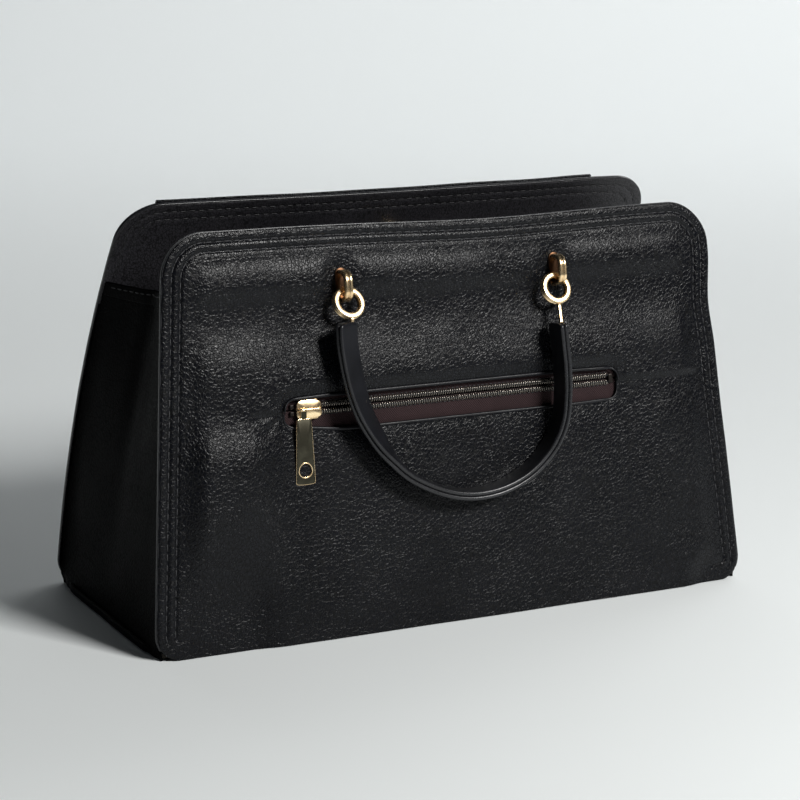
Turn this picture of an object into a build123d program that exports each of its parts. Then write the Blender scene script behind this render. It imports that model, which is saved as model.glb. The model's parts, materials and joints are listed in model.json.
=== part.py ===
"""A trapezoid satchel: two broad leather panels, a folded gusset at each end, a base, an outer zip pocket
and two U-shaped carrying handles. Millimetres, +X along the width, -Y towards the pocket side, +Z up.
The origin is on the floor under the middle of the base, halfway between the two ends."""

from build123d import *
import os
from math import atan2, cos, degrees, hypot, radians, sin, tan

os.makedirs("parts", exist_ok=True)

# ---- shell ----
bottom_width = 361.0
top_width = 326.0
rear_foot = -70.5  # y of the rear panel's outer face at the floor
rear_top = (-32.5, 212.0)  # y, z of its top edge
front_foot = 72.0
front_middle = (61.7, 113.2)  # a point half-way up the front panel's crowned face
front_top = (21.2, 219.4)
top_corner = 22.0
bottom_corner = 14.0
leather = 1.1
board = 1.0
facing = 0.9
shell = leather + board + facing
fabric = 0.6
board_inset = 2.0
lining_inset = 6.5
facing_height = 45.0
floor_gap = 0.3  # the base carries the bag, so the panels stop just short of the floor
trim = 1.0  # how far a curved layer is drawn past its outline before it is cut to it

# ---- gussets ----
gusset_inset = 2.5  # how far a panel's edge stands out past the gusset
hem_front_height = 175.0
hem_rear_height = 184.0
hem_depth = 8.0
hem_thickness = 0.8

# ---- base ----
base_board = 2.2
rim_height = 4.5
rim_thickness = 2.2
rim_edge_radius = 0.8
base_clearance = 0.35
sheet_gap = 0.05  # between sheets that lie flat on each other

# ---- front yoke ----
yoke_half_width = 134.0
yoke_depth = 66.0
yoke_thickness = 1.4

# ---- outer pocket: u is along the width, v up the rear panel's slope, w out of its face ----
window_half_width = 101.8
window_low = 109.8
window_high = 127.8
window_corner = 6.0
welt_width = 1.2
welt_height = 0.7
chain_height = 121.5  # v of the zip's centre line
chain_gap = 1.0
coil_width = 2.6
coil_depth = 2.0
coil_corner = 0.7
coil_end_gap = 5.0
end_stop_length = 3.0
top_stop_length = 2.4
stop_clearance = 0.8
stop_height = 1.6
tape_width = 14.0
tape_half_length = 112.0
tape_thickness = 0.5
cutout_half_width = 116.0
cutout_half_height = 17.5
pouch_half_width = 118.0
pouch_low = 24.0
pouch_wall = 0.4
pouch_gap = 1.6
pouch_seam = 2.0
pouch_mouth = 14.2  # the slot the zip opens

# ---- slider and puller ----
slider_left = -95.2
slider_length = 14.5
slider_half_width = 5.1
cap_bottom = 1.05
cap_top = 1.8
bail_height = 2.95  # w of the bail bar's centre
bail_radius = 0.5
bail_post_length = 1.2
bail_post_width = 2.0
post_inset = 0.9
cap_corner = 2.2
sole_top = -1.9
sole_thickness = 1.1
flange_bottom = -0.85
flange_wall = 0.9
nose_start = 1.0
nose_length = 3.6
nose_width = 0.7  # runs in the gap between the two coils
puller_u = -92.0
puller_length = 39.0
puller_top_width = 8.6
puller_foot_width = 11.2
puller_thickness = 1.2
puller_tilt = 3.0  # degrees, foot towards the panel
puller_hole_radius = 3.5
puller_hole_drop = 31.5
puller_hole_bevel = 0.3
puller_corner = 1.4
puller_neck = 4.6  # from the bail's axis down to the blade's shoulders
knuckle_radius = 0.95
knuckle_width = 3.0
knuckle_clearance = 0.08

# ---- handle hardware ----
loop_spacing = 130.0
loop_drop = 30.0  # from the panel's top edge down its slope to a loop's centre
loop_half_height = 7.0
loop_reach = 9.4
loop_wall = 2.4
loop_width = 4.4
loop_plate_length = 21.5
loop_plate_width = 8.5
loop_plate_thickness = 0.9
loop_outer_corner = 6.3
loop_inner_corner = 4.0
plate_clearance = 0.2  # between a backing plate and the board cut away for it
backing_thickness = 0.8
pivot_drop = 1.8  # from a loop's centre down to the handle's axis
pivot_reach = 4.2
ring_radius = 7.5  # middle of the ring's wall
ring_wall = 2.7
ring_depth = 3.6
stem_width = 2.4
stem_thickness = 1.6
tongue_length = 11.0
tongue_width = 8.0
tongue_thickness = 0.8
tongue_gap = 0.8  # from the end of a stem's leg to the tongue's flat
ring_corner = 0.6
ring_groove_radius = 0.55

# ---- handle straps ----
strap_width = 13.0
strap_layer = 2.4
bow_radius = 61.0
bow_drop = 53.0  # from the handle's axis down to the centre of the bow
bow_shift = 3.5
left_leg_u = -67.0
left_bend_drop = 29.0  # where the left leg leaves the bow's shoulder
left_turn = 25.0  # degrees of the bow given up to the shoulder
layer_gap = 0.05  # from the strap's centre line to each of its two layers
left_leg_drop = 19.5
right_leg_drop = 28.0

rear_strap_lean = 7.16  # degrees, the strap's foot standing out from its top
rear_strap_reach = 9.75  # from the handle's axis out to the middle of the strap
rear_ring_tilts = (27.0, 22.0)  # degrees that the left and right rings swing out from the strap
front_strap_lean = 17.5
front_strap_reach = 7.5
front_ring_tilts = (21.0, 16.0)

# ---- closure ----
snap_drop = 30.0
snap_radius = 9.0
snap_socket_height = 3.5
snap_disc_height = 1.6
snap_nub_radius = 3.0
snap_nub_height = 1.4
snap_nub_clearance = 0.3
snap_stand_off = 0.2  # the flat disc's distance from the curved facing
snap_edge_radius = 0.6
snap_backing_radius = 8.0

# ---- worked out from the above ----
rear_slant = hypot(rear_top[0] - rear_foot, rear_top[1])
rear_lean = degrees(atan2(rear_top[0] - rear_foot, rear_top[1]))


def circle_through(p, q, r):
    """Centre and radius of the circle through three points."""
    d = 2 * (p[0] * (q[1] - r[1]) + q[0] * (r[1] - p[1]) + r[0] * (p[1] - q[1]))
    pp, qq, rr = (a[0] ** 2 + a[1] ** 2 for a in (p, q, r))
    x = (pp * (q[1] - r[1]) + qq * (r[1] - p[1]) + rr * (p[1] - q[1])) / d
    y = (pp * (r[0] - q[0]) + qq * (p[0] - r[0]) + rr * (q[0] - p[0])) / d
    return x, y, hypot(p[0] - x, p[1] - y)


crown_y, crown_z, crown_radius = circle_through((front_foot, 0.0), front_middle, front_top)


def leaning_plane(origin, lean, side):
    """A plane facing the rear (side -1) or the front (side 1), its top leaning inwards by lean degrees."""
    a = radians(lean)
    return Plane(origin=origin, x_dir=(-side, 0, 0), z_dir=(0, side * cos(a), sin(a)))


rear_plane = leaning_plane((0, rear_foot, 0), rear_lean, -1)


def front_point(z):
    """The y of the front panel's outer face at height z."""
    return crown_y + (crown_radius**2 - (z - crown_z) ** 2) ** 0.5


def front_tangent_plane(drop, out=0.0):
    """The plane that touches the front panel, drop mm below its top edge, moved out by out mm."""
    top_angle = atan2(front_top[1] - crown_z, front_top[0] - crown_y)
    angle = top_angle - drop / crown_radius
    radius = crown_radius + out
    origin = (0, crown_y + radius * cos(angle), crown_z + radius * sin(angle))
    return leaning_plane(origin, degrees(angle), 1)


def half_width(z):
    """Half the width of a panel at height z."""
    return bottom_width / 2 - (bottom_width - top_width) / 2 * z / rear_top[1]


def trapezoid(sketch, low, high, inset=0.0, low_radius=bottom_corner, high_radius=top_corner, slope=1.0):
    """A panel's outline between two heights, with rounded corners, in the sketch being drawn.
    slope turns a height up the panel into a height above the floor."""
    wide = half_width(low * slope) - inset
    narrow = half_width(high * slope) - inset
    Polygon((-wide, low), (wide, low), (narrow, high), (-narrow, high), align=None)
    if high_radius:
        fillet(sketch.vertices().group_by(Axis.Y)[-1], high_radius)
    if low_radius:
        fillet(sketch.vertices().group_by(Axis.Y)[0], low_radius)


def oblong_holes(plane, depth, length, width, height):
    """Upright oblong holes, one at each handle loop, cut back from the plane."""
    with BuildSketch(plane) as holes:
        with Locations((-loop_spacing / 2, height), (loop_spacing / 2, height)):
            SlotOverall(length, width, rotation=90)
    extrude(holes.sketch, amount=-depth, mode=Mode.SUBTRACT)


def post_holes(plane, depth, height):
    """The four rectangular holes that two loops' posts pass through."""
    with BuildSketch(plane) as holes:
        for u in (-loop_spacing / 2, loop_spacing / 2):
            for v in (-1, 1):
                with Locations((u, height + v * (loop_half_height - loop_wall / 2))):
                    Rectangle(loop_width, loop_wall)
    extrude(holes.sketch, amount=-depth, mode=Mode.SUBTRACT)


def curved_band(inner, outer, z_low, z_high):
    """A band that follows the front panel's crown between two depths behind its face, over the full width."""
    with BuildSketch(Plane.YZ) as band:
        with BuildLine():
            outside = ThreePointArc(
                *[crown_point(outer, z) for z in (z_low, (z_low + z_high) / 2, z_high)]
            )
            inside = ThreePointArc(
                *[crown_point(inner, z) for z in (z_low, (z_low + z_high) / 2, z_high)]
            )
            Line(outside @ 0, inside @ 0)
            Line(outside @ 1, inside @ 1)
        make_face()
    extrude(band.sketch, amount=bottom_width, both=True)


def crown_point(depth, z):
    """The point at a depth behind the front panel's face (negative is in front of it) and a height."""
    radius = crown_radius - depth
    return crown_y + (radius**2 - (z - crown_z) ** 2) ** 0.5, z


def save(part, label):
    """Labels a finished piece and writes it."""
    part.label = label
    export_step(part, f"parts/{label}.step")


# ---------------------------------------------------------------- rear wall
loop_height = rear_slant - loop_drop
snap_height = rear_slant - snap_drop
upright = cos(radians(rear_lean))  # height gained per mm up the rear slope

with BuildPart() as rear_panel:
    with BuildSketch(rear_plane) as outline:
        trapezoid(outline, floor_gap, rear_slant, slope=upright)
    extrude(amount=-leather)
    with BuildSketch(rear_plane):
        with Locations((0, (window_low + window_high) / 2)):
            RectangleRounded(2 * window_half_width, window_high - window_low, window_corner)
    extrude(amount=-leather, mode=Mode.SUBTRACT)
    post_holes(rear_plane, leather, loop_height)
save(rear_panel.part, "rear_panel")

with BuildPart() as rear_board:
    with BuildSketch(rear_plane.offset(-leather)) as outline:
        trapezoid(outline, board_inset, rear_slant - board_inset, board_inset, slope=upright)
    extrude(amount=-board)
    with BuildSketch(rear_plane.offset(-leather)):
        with Locations((0, chain_height)):
            RectangleRounded(2 * cutout_half_width, 2 * cutout_half_height, window_corner)
        with Locations((0, snap_height)):
            Circle(snap_backing_radius)
    extrude(amount=-board, mode=Mode.SUBTRACT)
    oblong_holes(rear_plane.offset(-leather), board, loop_plate_length, loop_plate_width, loop_height)
save(rear_board.part, "rear_board")

with BuildPart() as rear_facing:
    with BuildSketch(rear_plane.offset(-leather - board)) as outline:
        trapezoid(outline, rear_slant - facing_height, rear_slant, low_radius=0, slope=upright)
    extrude(amount=-facing)
save(rear_facing.part, "rear_facing")

pouch_back = shell - facing + 2 * pouch_wall + pouch_gap  # depth of the pouch's inner face behind the panel
with BuildPart() as rear_lining:
    with BuildSketch(rear_plane.offset(-pouch_back - 2 * sheet_gap)) as outline:
        lining_top = rear_slant - facing_height - 1
        trapezoid(outline, 2 * rim_height, lining_top, lining_inset, high_radius=0, slope=upright)
    extrude(amount=-fabric)
save(rear_lining.part, "rear_lining")

# ---------------------------------------------------------------- front wall, crowned outwards
front_loop_plane = front_tangent_plane(loop_drop)
front_snap_plane = front_tangent_plane(snap_drop, -shell)


def crowned_layer(name, depth, thickness, low, high, inset, low_radius, high_radius):
    """One layer of the front wall: a curved band trimmed to the panel's outline."""
    with BuildPart() as layer:
        curved_band(depth + thickness, depth, low - trim, high + trim)
        with BuildSketch(Plane.XZ) as outline:
            trapezoid(outline, low, high, inset, low_radius, high_radius)
        extrude(amount=crown_radius, both=True, mode=Mode.INTERSECT)
        if depth == 0:
            post_holes(front_loop_plane.offset(trim), thickness + 2 * trim, 0)
        elif depth == leather:
            wide = loop_plate_width + 2 * plate_clearance
            oblong_holes(front_loop_plane, shell, loop_plate_length, wide, 0)
            with BuildSketch(front_snap_plane.offset(shell)):
                Circle(snap_backing_radius + plate_clearance)
            extrude(amount=-2 * shell, mode=Mode.SUBTRACT)
    save(layer.part, name)


crowned_layer("front_panel", 0, leather, floor_gap, front_top[1], 0, bottom_corner, top_corner)
crowned_layer(
    "front_board",
    leather,
    board,
    board_inset,
    front_top[1] - board_inset,
    board_inset,
    bottom_corner,
    top_corner,
)
crowned_layer(
    "front_facing",
    leather + board,
    facing,
    front_top[1] - facing_height,
    front_top[1],
    0,
    0,
    top_corner,
)
crowned_layer(
    "front_lining",
    leather + board,
    fabric,
    2 * rim_height,
    front_top[1] - facing_height - 1,
    lining_inset,
    bottom_corner,
    0,
)

with BuildPart() as front_yoke:
    curved_band(0, -yoke_thickness, front_top[1] - yoke_depth - trim, front_top[1] + trim)
    with BuildSketch(Plane.XZ) as outline:
        with Locations((0, front_top[1] - yoke_depth / 2)):
            Rectangle(2 * yoke_half_width, yoke_depth)
        fillet(outline.vertices().group_by(Axis.Y)[0], top_corner)
    extrude(amount=crown_radius, both=True, mode=Mode.INTERSECT)
    post_holes(front_loop_plane.offset(2 * yoke_thickness), 4 * yoke_thickness, 0)
save(front_yoke.part, "front_yoke")

# ---------------------------------------------------------------- gussets
gusset_lean = (bottom_width - top_width) / 2 / rear_top[1]  # how far an end leans in per mm of height


def rear_inner(z):
    """The y of the rear wall's inner face at height z."""
    return rear_foot + z * tan(radians(rear_lean)) + (shell + sheet_gap) / cos(radians(rear_lean))


def hem_line(drop):
    """The y, z points where a line drop mm below the gusset's hem meets the rear and the front walls."""
    z_rear = hem_rear_height - drop
    z_front = hem_front_height - drop
    return (rear_inner(z_rear), z_rear), crown_point(shell + sheet_gap, z_front)


def end_sheet(side, depth, thickness, drop_top, bottom):
    """A leaning sheet across one end of the bag, depth mm inside the gusset's outer face.
    Its top edge lies drop_top mm under the hem and its lower edge is at a height, or if that is None,
    one hem's depth lower down."""
    foot = side * (bottom_width / 2 - gusset_inset - depth)
    rise = hem_rear_height + hem_depth
    shift = -side * gusset_lean * rise
    inward = -side * thickness
    with BuildSketch(Plane.XZ) as section:
        Polygon(
            (foot, 0),
            (foot + inward, 0),
            (foot + inward + shift, rise),
            (foot + shift, rise),
            align=None,
        )
    extrude(section.sketch, amount=2 * front_foot, both=True)
    high_rear, high_front = hem_line(drop_top)
    if bottom is None:
        low_rear, low_front = hem_line(drop_top + hem_depth)
    else:
        low_rear = (rear_inner(bottom), bottom)
        low_front = crown_point(shell + sheet_gap, bottom)
    middle = crown_point(shell + sheet_gap, (high_front[1] + low_front[1]) / 2)
    with BuildSketch(Plane.YZ) as profile:
        with BuildLine():
            Polyline(high_front, high_rear, low_rear, low_front)
            ThreePointArc(low_front, middle, high_front)
        make_face()
    extrude(profile.sketch, amount=bottom_width, both=True, mode=Mode.INTERSECT)


for side, name in ((-1, "left"), (1, "right")):
    with BuildPart() as gusset:
        end_sheet(side, 0, leather, 0, floor_gap)
    save(gusset.part, f"{name}_gusset")

    with BuildPart() as hem:
        end_sheet(side, -hem_thickness, hem_thickness, 0, None)
    save(hem.part, f"{name}_gusset_hem")

    with BuildPart() as gusset_lining:
        end_sheet(side, leather, fabric, board_inset, 2 * rim_height)
    save(gusset_lining.part, f"{name}_gusset_lining")

# ---------------------------------------------------------------- base
base_rear = rear_inner(rim_height) + base_clearance
base_front = crown_point(shell, 0)[0] - base_clearance
base_half_length = bottom_width / 2 - gusset_inset - leather - base_clearance
base_middle = (base_rear + base_front) / 2


def base_layer(name, low, thickness):
    """One flat layer of the base."""
    with BuildPart() as layer:
        with BuildSketch(Plane.XY.offset(low)):
            with Locations((0, base_middle)):
                Rectangle(2 * base_half_length, base_front - base_rear)
        extrude(amount=thickness)
    save(layer.part, name)


base_layer("base_panel", 0, leather)
base_layer("base_board", leather, base_board)
base_layer("base_lining", leather + base_board, fabric)

for side, name in ((-1, "left"), (1, "right")):
    with BuildPart() as rim:
        rim_foot = side * (bottom_width / 2 - gusset_inset + sheet_gap)
        with BuildSketch(Plane.XZ):
            Polygon(
                (rim_foot, floor_gap),
                (rim_foot + side * rim_thickness, floor_gap),
                (rim_foot + side * (rim_thickness - gusset_lean * rim_height), rim_height),
                (rim_foot - side * gusset_lean * (rim_height - floor_gap), rim_height),
                align=None,
            )
        extrude(amount=-base_rear - bottom_corner / 2, both=True)
        fillet(rim.edges().filter_by(Axis.Y).sort_by(Axis.X)[0 if side < 0 else -1], rim_edge_radius)
    save(rim.part, f"{name}_base_rim")

# ---------------------------------------------------------------- closure snaps on the two facings
rear_snap_plane = leaning_plane(rear_plane.from_local_coords((0, snap_height, -shell)), rear_lean, -1)

with BuildPart() as snap_socket:
    with BuildSketch(rear_snap_plane):
        Circle(snap_radius)
        Circle(snap_nub_radius + snap_nub_clearance, mode=Mode.SUBTRACT)
    extrude(amount=-snap_socket_height)
    fillet(snap_socket.edges().group_by(Axis.Y)[-1].sort_by(SortBy.LENGTH)[-1], snap_edge_radius)
save(snap_socket.part, "snap_socket")

with BuildPart() as snap_stud:
    with BuildSketch(front_snap_plane.offset(-snap_stand_off)):
        Circle(snap_radius)
    extrude(amount=-snap_disc_height)
    with BuildSketch(front_snap_plane.offset(-snap_stand_off - snap_disc_height)):
        Circle(snap_nub_radius)
    extrude(amount=-snap_nub_height)
save(snap_stud.part, "snap_stud")

with BuildPart() as snap_backings:
    for plane in (rear_snap_plane, front_snap_plane):
        with BuildSketch(plane.offset(facing + (board - backing_thickness) / 2)) as backing:
            Circle(snap_backing_radius)
        extrude(backing.sketch, amount=backing_thickness)
save(snap_backings.part, "snap_backings")

# ---------------------------------------------------------------- outer zip pocket
with BuildPart() as pocket_welt:
    with BuildSketch(rear_plane):
        with Locations((0, (window_low + window_high) / 2)):
            RectangleRounded(
                2 * (window_half_width + welt_width),
                window_high - window_low + 2 * welt_width,
                window_corner + welt_width,
            )
            RectangleRounded(
                2 * window_half_width,
                window_high - window_low,
                window_corner,
                mode=Mode.SUBTRACT,
            )
    extrude(amount=welt_height)
save(pocket_welt.part, "pocket_welt")

coil_start = slider_left + slider_length / 2
coil_end = window_half_width - coil_end_gap
for sign, name in ((1, "upper"), (-1, "lower")):
    with BuildPart() as tape:
        with BuildSketch(rear_plane.offset(-leather)):
            with Locations((0, chain_height + sign * (chain_gap + tape_width) / 2)):
                Rectangle(2 * tape_half_length, tape_width)
        extrude(amount=-tape_thickness)
    save(tape.part, f"pocket_tape_{name}")

    with BuildPart() as coil:
        with BuildSketch(rear_plane.offset(-leather)):
            coil_height = chain_height + sign * (chain_gap + coil_width) / 2
            with Locations(((coil_start + coil_end) / 2, coil_height)):
                Rectangle(coil_end - coil_start, coil_width)
        extrude(amount=coil_depth)
        fillet(coil.edges().filter_by(Axis.X).sort_by(Axis.Y)[:2], coil_corner)
    save(coil.part, f"pocket_coil_{name}")

with BuildPart() as pocket_stops:
    with BuildSketch(rear_plane.offset(-leather)):
        for sign in (-1, 1):
            with Locations((
                slider_left - stop_clearance - top_stop_length / 2,
                chain_height + sign * (chain_gap + coil_width) / 2,
            )):
                Rectangle(top_stop_length, coil_width)
        with Locations((coil_end + end_stop_length / 2, chain_height)):
            Rectangle(end_stop_length, 2 * coil_width)
    extrude(amount=stop_height)
save(pocket_stops.part, "pocket_stops")

pouch_front = shell - facing  # depth of the pouch's outer face behind the panel
pouch_height = chain_height + cutout_half_height - pouch_low
pouch_middle = pouch_low + pouch_height / 2
with BuildPart() as pocket_pouch:
    with BuildSketch(rear_plane.offset(-pouch_front)):
        with Locations((0, pouch_middle)):
            RectangleRounded(2 * pouch_half_width, pouch_height, window_corner)
    extrude(amount=-2 * pouch_wall - pouch_gap)
    with BuildSketch(rear_plane.offset(-pouch_front - pouch_wall)):
        with Locations((0, pouch_middle)):
            RectangleRounded(
                2 * (pouch_half_width - pouch_seam),
                pouch_height - 2 * pouch_seam,
                window_corner - pouch_seam,
            )
    extrude(amount=-pouch_gap, mode=Mode.SUBTRACT)
    with BuildSketch(rear_plane.offset(-pouch_front)):
        with Locations((0, chain_height)):
            Rectangle(2 * window_half_width, pouch_mouth)
    extrude(amount=-pouch_wall, mode=Mode.SUBTRACT)
save(pocket_pouch.part, "pocket_pouch")

# ---------------------------------------------------------------- slider and puller
slider_middle = slider_left + slider_length / 2

with BuildPart() as pocket_slider:
    # the cap
    with BuildSketch(rear_plane.offset(cap_bottom)):
        with Locations((slider_middle, chain_height)):
            RectangleRounded(slider_length, 2 * slider_half_width, cap_corner)
    extrude(amount=cap_top - cap_bottom)
    # the rolled edges that hold the coils
    with BuildSketch(rear_plane.offset(flange_bottom)):
        for sign in (-1, 1):
            with Locations(
                (slider_middle, chain_height + sign * (slider_half_width - flange_wall / 2))
            ):
                Rectangle(slider_length - 2 * cap_corner, flange_wall)
    extrude(amount=cap_bottom - flange_bottom)
    # the sole behind the tapes
    with BuildSketch(rear_plane.offset(sole_top)):
        with Locations((slider_middle, chain_height)):
            RectangleRounded(slider_length - 1, 2 * slider_half_width - 1, cap_corner)
    extrude(amount=-sole_thickness)
    # the divider that joins cap and sole between the two coils
    with BuildSketch(rear_plane.offset(sole_top)):
        with Locations((slider_left + nose_start + nose_length / 2, chain_height)):
            Rectangle(nose_length, nose_width)
    extrude(amount=cap_bottom - sole_top)
    # the bail: a round bar on two posts
    for u in (slider_left + post_inset, slider_left + slider_length - post_inset):
        with BuildSketch(rear_plane.offset(cap_top)):
            with Locations((u, chain_height)):
                Rectangle(bail_post_length, bail_post_width)
        extrude(amount=bail_height + bail_radius - cap_top)
    bail_start = rear_plane.from_local_coords((slider_left + post_inset, chain_height, bail_height))
    with BuildSketch(Plane(origin=bail_start, x_dir=(0, 1, 0), z_dir=(1, 0, 0))):
        Circle(bail_radius)
    extrude(amount=slider_length - 2 * post_inset)
save(pocket_slider.part, "pocket_slider")

puller_pivot = rear_plane.from_local_coords((0, chain_height, bail_height))
puller_plane = leaning_plane(puller_pivot, rear_lean - puller_tilt, -1)

with BuildPart() as pocket_puller:
    with BuildSketch(puller_plane.offset(-puller_thickness / 2)) as blade:
        Polygon(
            (puller_u - puller_top_width / 2, -puller_neck),
            (puller_u + puller_top_width / 2, -puller_neck),
            (puller_u + puller_foot_width / 2, -puller_length),
            (puller_u - puller_foot_width / 2, -puller_length),
            align=None,
        )
        fillet(blade.vertices(), puller_corner)
        with Locations((puller_u, -puller_hole_drop)):
            Circle(puller_hole_radius, mode=Mode.SUBTRACT)
    extrude(amount=puller_thickness)
    hole_edges = pocket_puller.edges().filter_by(GeomType.CIRCLE)
    chamfer(hole_edges.filter_by(lambda edge: edge.radius > puller_corner + trim), puller_hole_bevel)
    with BuildSketch(puller_plane.offset(-puller_thickness / 2)):
        with Locations((puller_u, -puller_neck / 2)):
            Rectangle(knuckle_width, puller_neck + puller_thickness)
    extrude(amount=puller_thickness)
    bail_line = Plane(origin=puller_pivot, x_dir=(0, 1, 0), z_dir=(1, 0, 0)).offset(puller_u)
    with BuildSketch(bail_line):
        Circle(knuckle_radius)
    extrude(amount=knuckle_width / 2, both=True)
    with BuildSketch(bail_line):
        Circle(bail_radius + knuckle_clearance)
    extrude(amount=knuckle_width, both=True, mode=Mode.SUBTRACT)
save(pocket_puller.part, "pocket_puller")


# ---------------------------------------------------------------- handles
def handle_outline(low, high):
    """The strap's U between two offsets from its centre line, outwards positive, in the handle's plane."""
    centre = (bow_shift, -bow_drop)
    right = bow_radius + bow_shift
    left = left_leg_u
    with BuildLine() as outline:
        bow = CenterArc(centre, bow_radius + low, 180 + left_turn, 180 - left_turn)
        shoulder = TangentArc(bow @ 0, (left - low, -left_bend_drop), tangent=-(bow % 0))
        Line(shoulder @ 1, (left - low, -left_leg_drop))
        Line((left - low, -left_leg_drop), (left - high, -left_leg_drop))
        outer_bow = CenterArc(centre, bow_radius + high, 180 + left_turn, 180 - left_turn)
        outer_shoulder = TangentArc(
            outer_bow @ 0,
            (left - high, -left_bend_drop),
            tangent=-(outer_bow % 0),
        )
        Line(outer_shoulder @ 1, (left - high, -left_leg_drop))
        Line(bow @ 1, (right + low, -right_leg_drop))
        Line((right + low, -right_leg_drop), (right + high, -right_leg_drop))
        Line(outer_bow @ 1, (right + high, -right_leg_drop))
    make_face(outline.edges())


def make_handle(name, mount, strap_lean, side, strap_reach, ring_tilts, face_depth):
    """One handle and its hardware. mount is the plane of the wall's face, midway between the loops.
    strap_lean is the strap's lean in degrees, and strap_reach how far its middle stands out from the axis.
    ring_tilts is how far each ring swings out from the strap, and face_depth how deep the posts go."""
    pivot = mount.from_local_coords((0, -pivot_drop, pivot_reach))
    strap_plane = leaning_plane(pivot, strap_lean, side)
    inner_half = loop_half_height - loop_wall
    inner_reach = loop_reach - loop_wall

    with BuildPart() as loops:
        for u in (-loop_spacing / 2, loop_spacing / 2):
            corner = mount.from_local_coords((u, 0, 0))
            edge_on = Plane(origin=corner, x_dir=mount.z_dir, z_dir=-mount.x_dir)
            with BuildSketch(edge_on.offset(-loop_width / 2)) as bow:
                with Locations(((loop_reach - face_depth) / 2, 0)):
                    Rectangle(loop_reach + face_depth, 2 * loop_half_height)
                fillet(bow.vertices().group_by(Axis.X)[-1], loop_outer_corner)
                with Locations(((inner_reach - face_depth) / 2, 0)):
                    RectangleRounded(
                        inner_reach + face_depth,
                        2 * inner_half,
                        loop_inner_corner,
                        mode=Mode.SUBTRACT,
                    )
                with Locations(((inner_reach - loop_inner_corner - face_depth) / 2, 0)):
                    Rectangle(
                        inner_reach - loop_inner_corner + face_depth,
                        2 * inner_half,
                        mode=Mode.SUBTRACT,
                    )
            extrude(amount=loop_width)
    save(loops.part, f"{name}_loops")

    with BuildPart() as plates:
        with BuildSketch(mount):
            with Locations((-loop_spacing / 2, 0), (loop_spacing / 2, 0)):
                SlotOverall(loop_plate_length, loop_plate_width, rotation=90)
        extrude(amount=loop_plate_thickness)
        post_holes(mount.offset(loop_plate_thickness), loop_plate_thickness, 0)
    save(plates.part, f"{name}_loop_plates")

    with BuildPart() as washers:
        with BuildSketch(mount.offset(-face_depth)):
            with Locations((-loop_spacing / 2, 0), (loop_spacing / 2, 0)):
                SlotOverall(loop_plate_length - 1, loop_plate_width - 1, rotation=90)
        extrude(amount=backing_thickness)
        post_holes(mount, 2 * face_depth, 0)
    save(washers.part, f"{name}_loop_washers")

    with BuildPart() as rings:
        for u, tilt, leg in (
            (-loop_spacing / 2, ring_tilts[0], left_leg_drop),
            (loop_spacing / 2, ring_tilts[1], right_leg_drop),
        ):
            corner = strap_plane.from_local_coords((u, 0, 0))
            ring_plane = leaning_plane(corner, strap_lean + tilt, side)
            middle = ring_plane.from_local_coords((0, -ring_radius, 0))
            section = Plane(origin=middle, x_dir=ring_plane.x_dir, z_dir=-ring_plane.y_dir)
            with BuildSketch(section) as wall:
                with Locations((ring_radius, 0)):
                    RectangleRounded(ring_wall, ring_depth, ring_corner)
                with Locations((ring_radius + ring_wall / 2, 0)):
                    Circle(ring_groove_radius, mode=Mode.SUBTRACT)
            revolve(axis=Axis(middle, ring_plane.z_dir))
            reach = leg / cos(radians(tilt))
            stem_top = -2 * ring_radius
            stem_foot = -reach - tongue_thickness
            with BuildSketch(ring_plane.offset(-stem_thickness / 2)):
                with Locations((0, (stem_top + stem_foot) / 2)):
                    Rectangle(stem_width, stem_top - stem_foot)
            extrude(amount=stem_thickness)
            tongue = strap_plane.from_local_coords((u, -leg, reach * sin(radians(tilt))))
            with BuildSketch(Plane(origin=tongue, x_dir=strap_plane.z_dir, z_dir=-strap_plane.x_dir)):
                with Locations((0, -tongue_length / 2 - tongue_gap)):
                    Rectangle(tongue_width, tongue_length)
            extrude(amount=tongue_thickness / 2, both=True)
    save(rings.part, f"{name}_handle_rings")

    for layer, low, high in (("inner", -strap_layer, -layer_gap), ("outer", layer_gap, strap_layer)):
        with BuildPart() as strap:
            with BuildSketch(strap_plane.offset(strap_reach - strap_width / 2)):
                handle_outline(low, high)
            extrude(amount=strap_width)
            add(rings.part, mode=Mode.SUBTRACT)
        save(strap.part, f"{name}_handle_{layer}")


rear_mount = leaning_plane(rear_plane.from_local_coords((0, loop_height, 0)), rear_lean, -1)
make_handle("rear", rear_mount, rear_strap_lean, -1, rear_strap_reach, rear_ring_tilts, leather + board)
front_mount = front_tangent_plane(loop_drop, yoke_thickness)
front_post_depth = leather + board + yoke_thickness
make_handle("front", front_mount, front_strap_lean, 1, front_strap_reach, front_ring_tilts, front_post_depth)
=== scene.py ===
import json
import math

import bpy
import numpy as np
from mathutils import Matrix, Vector


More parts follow.
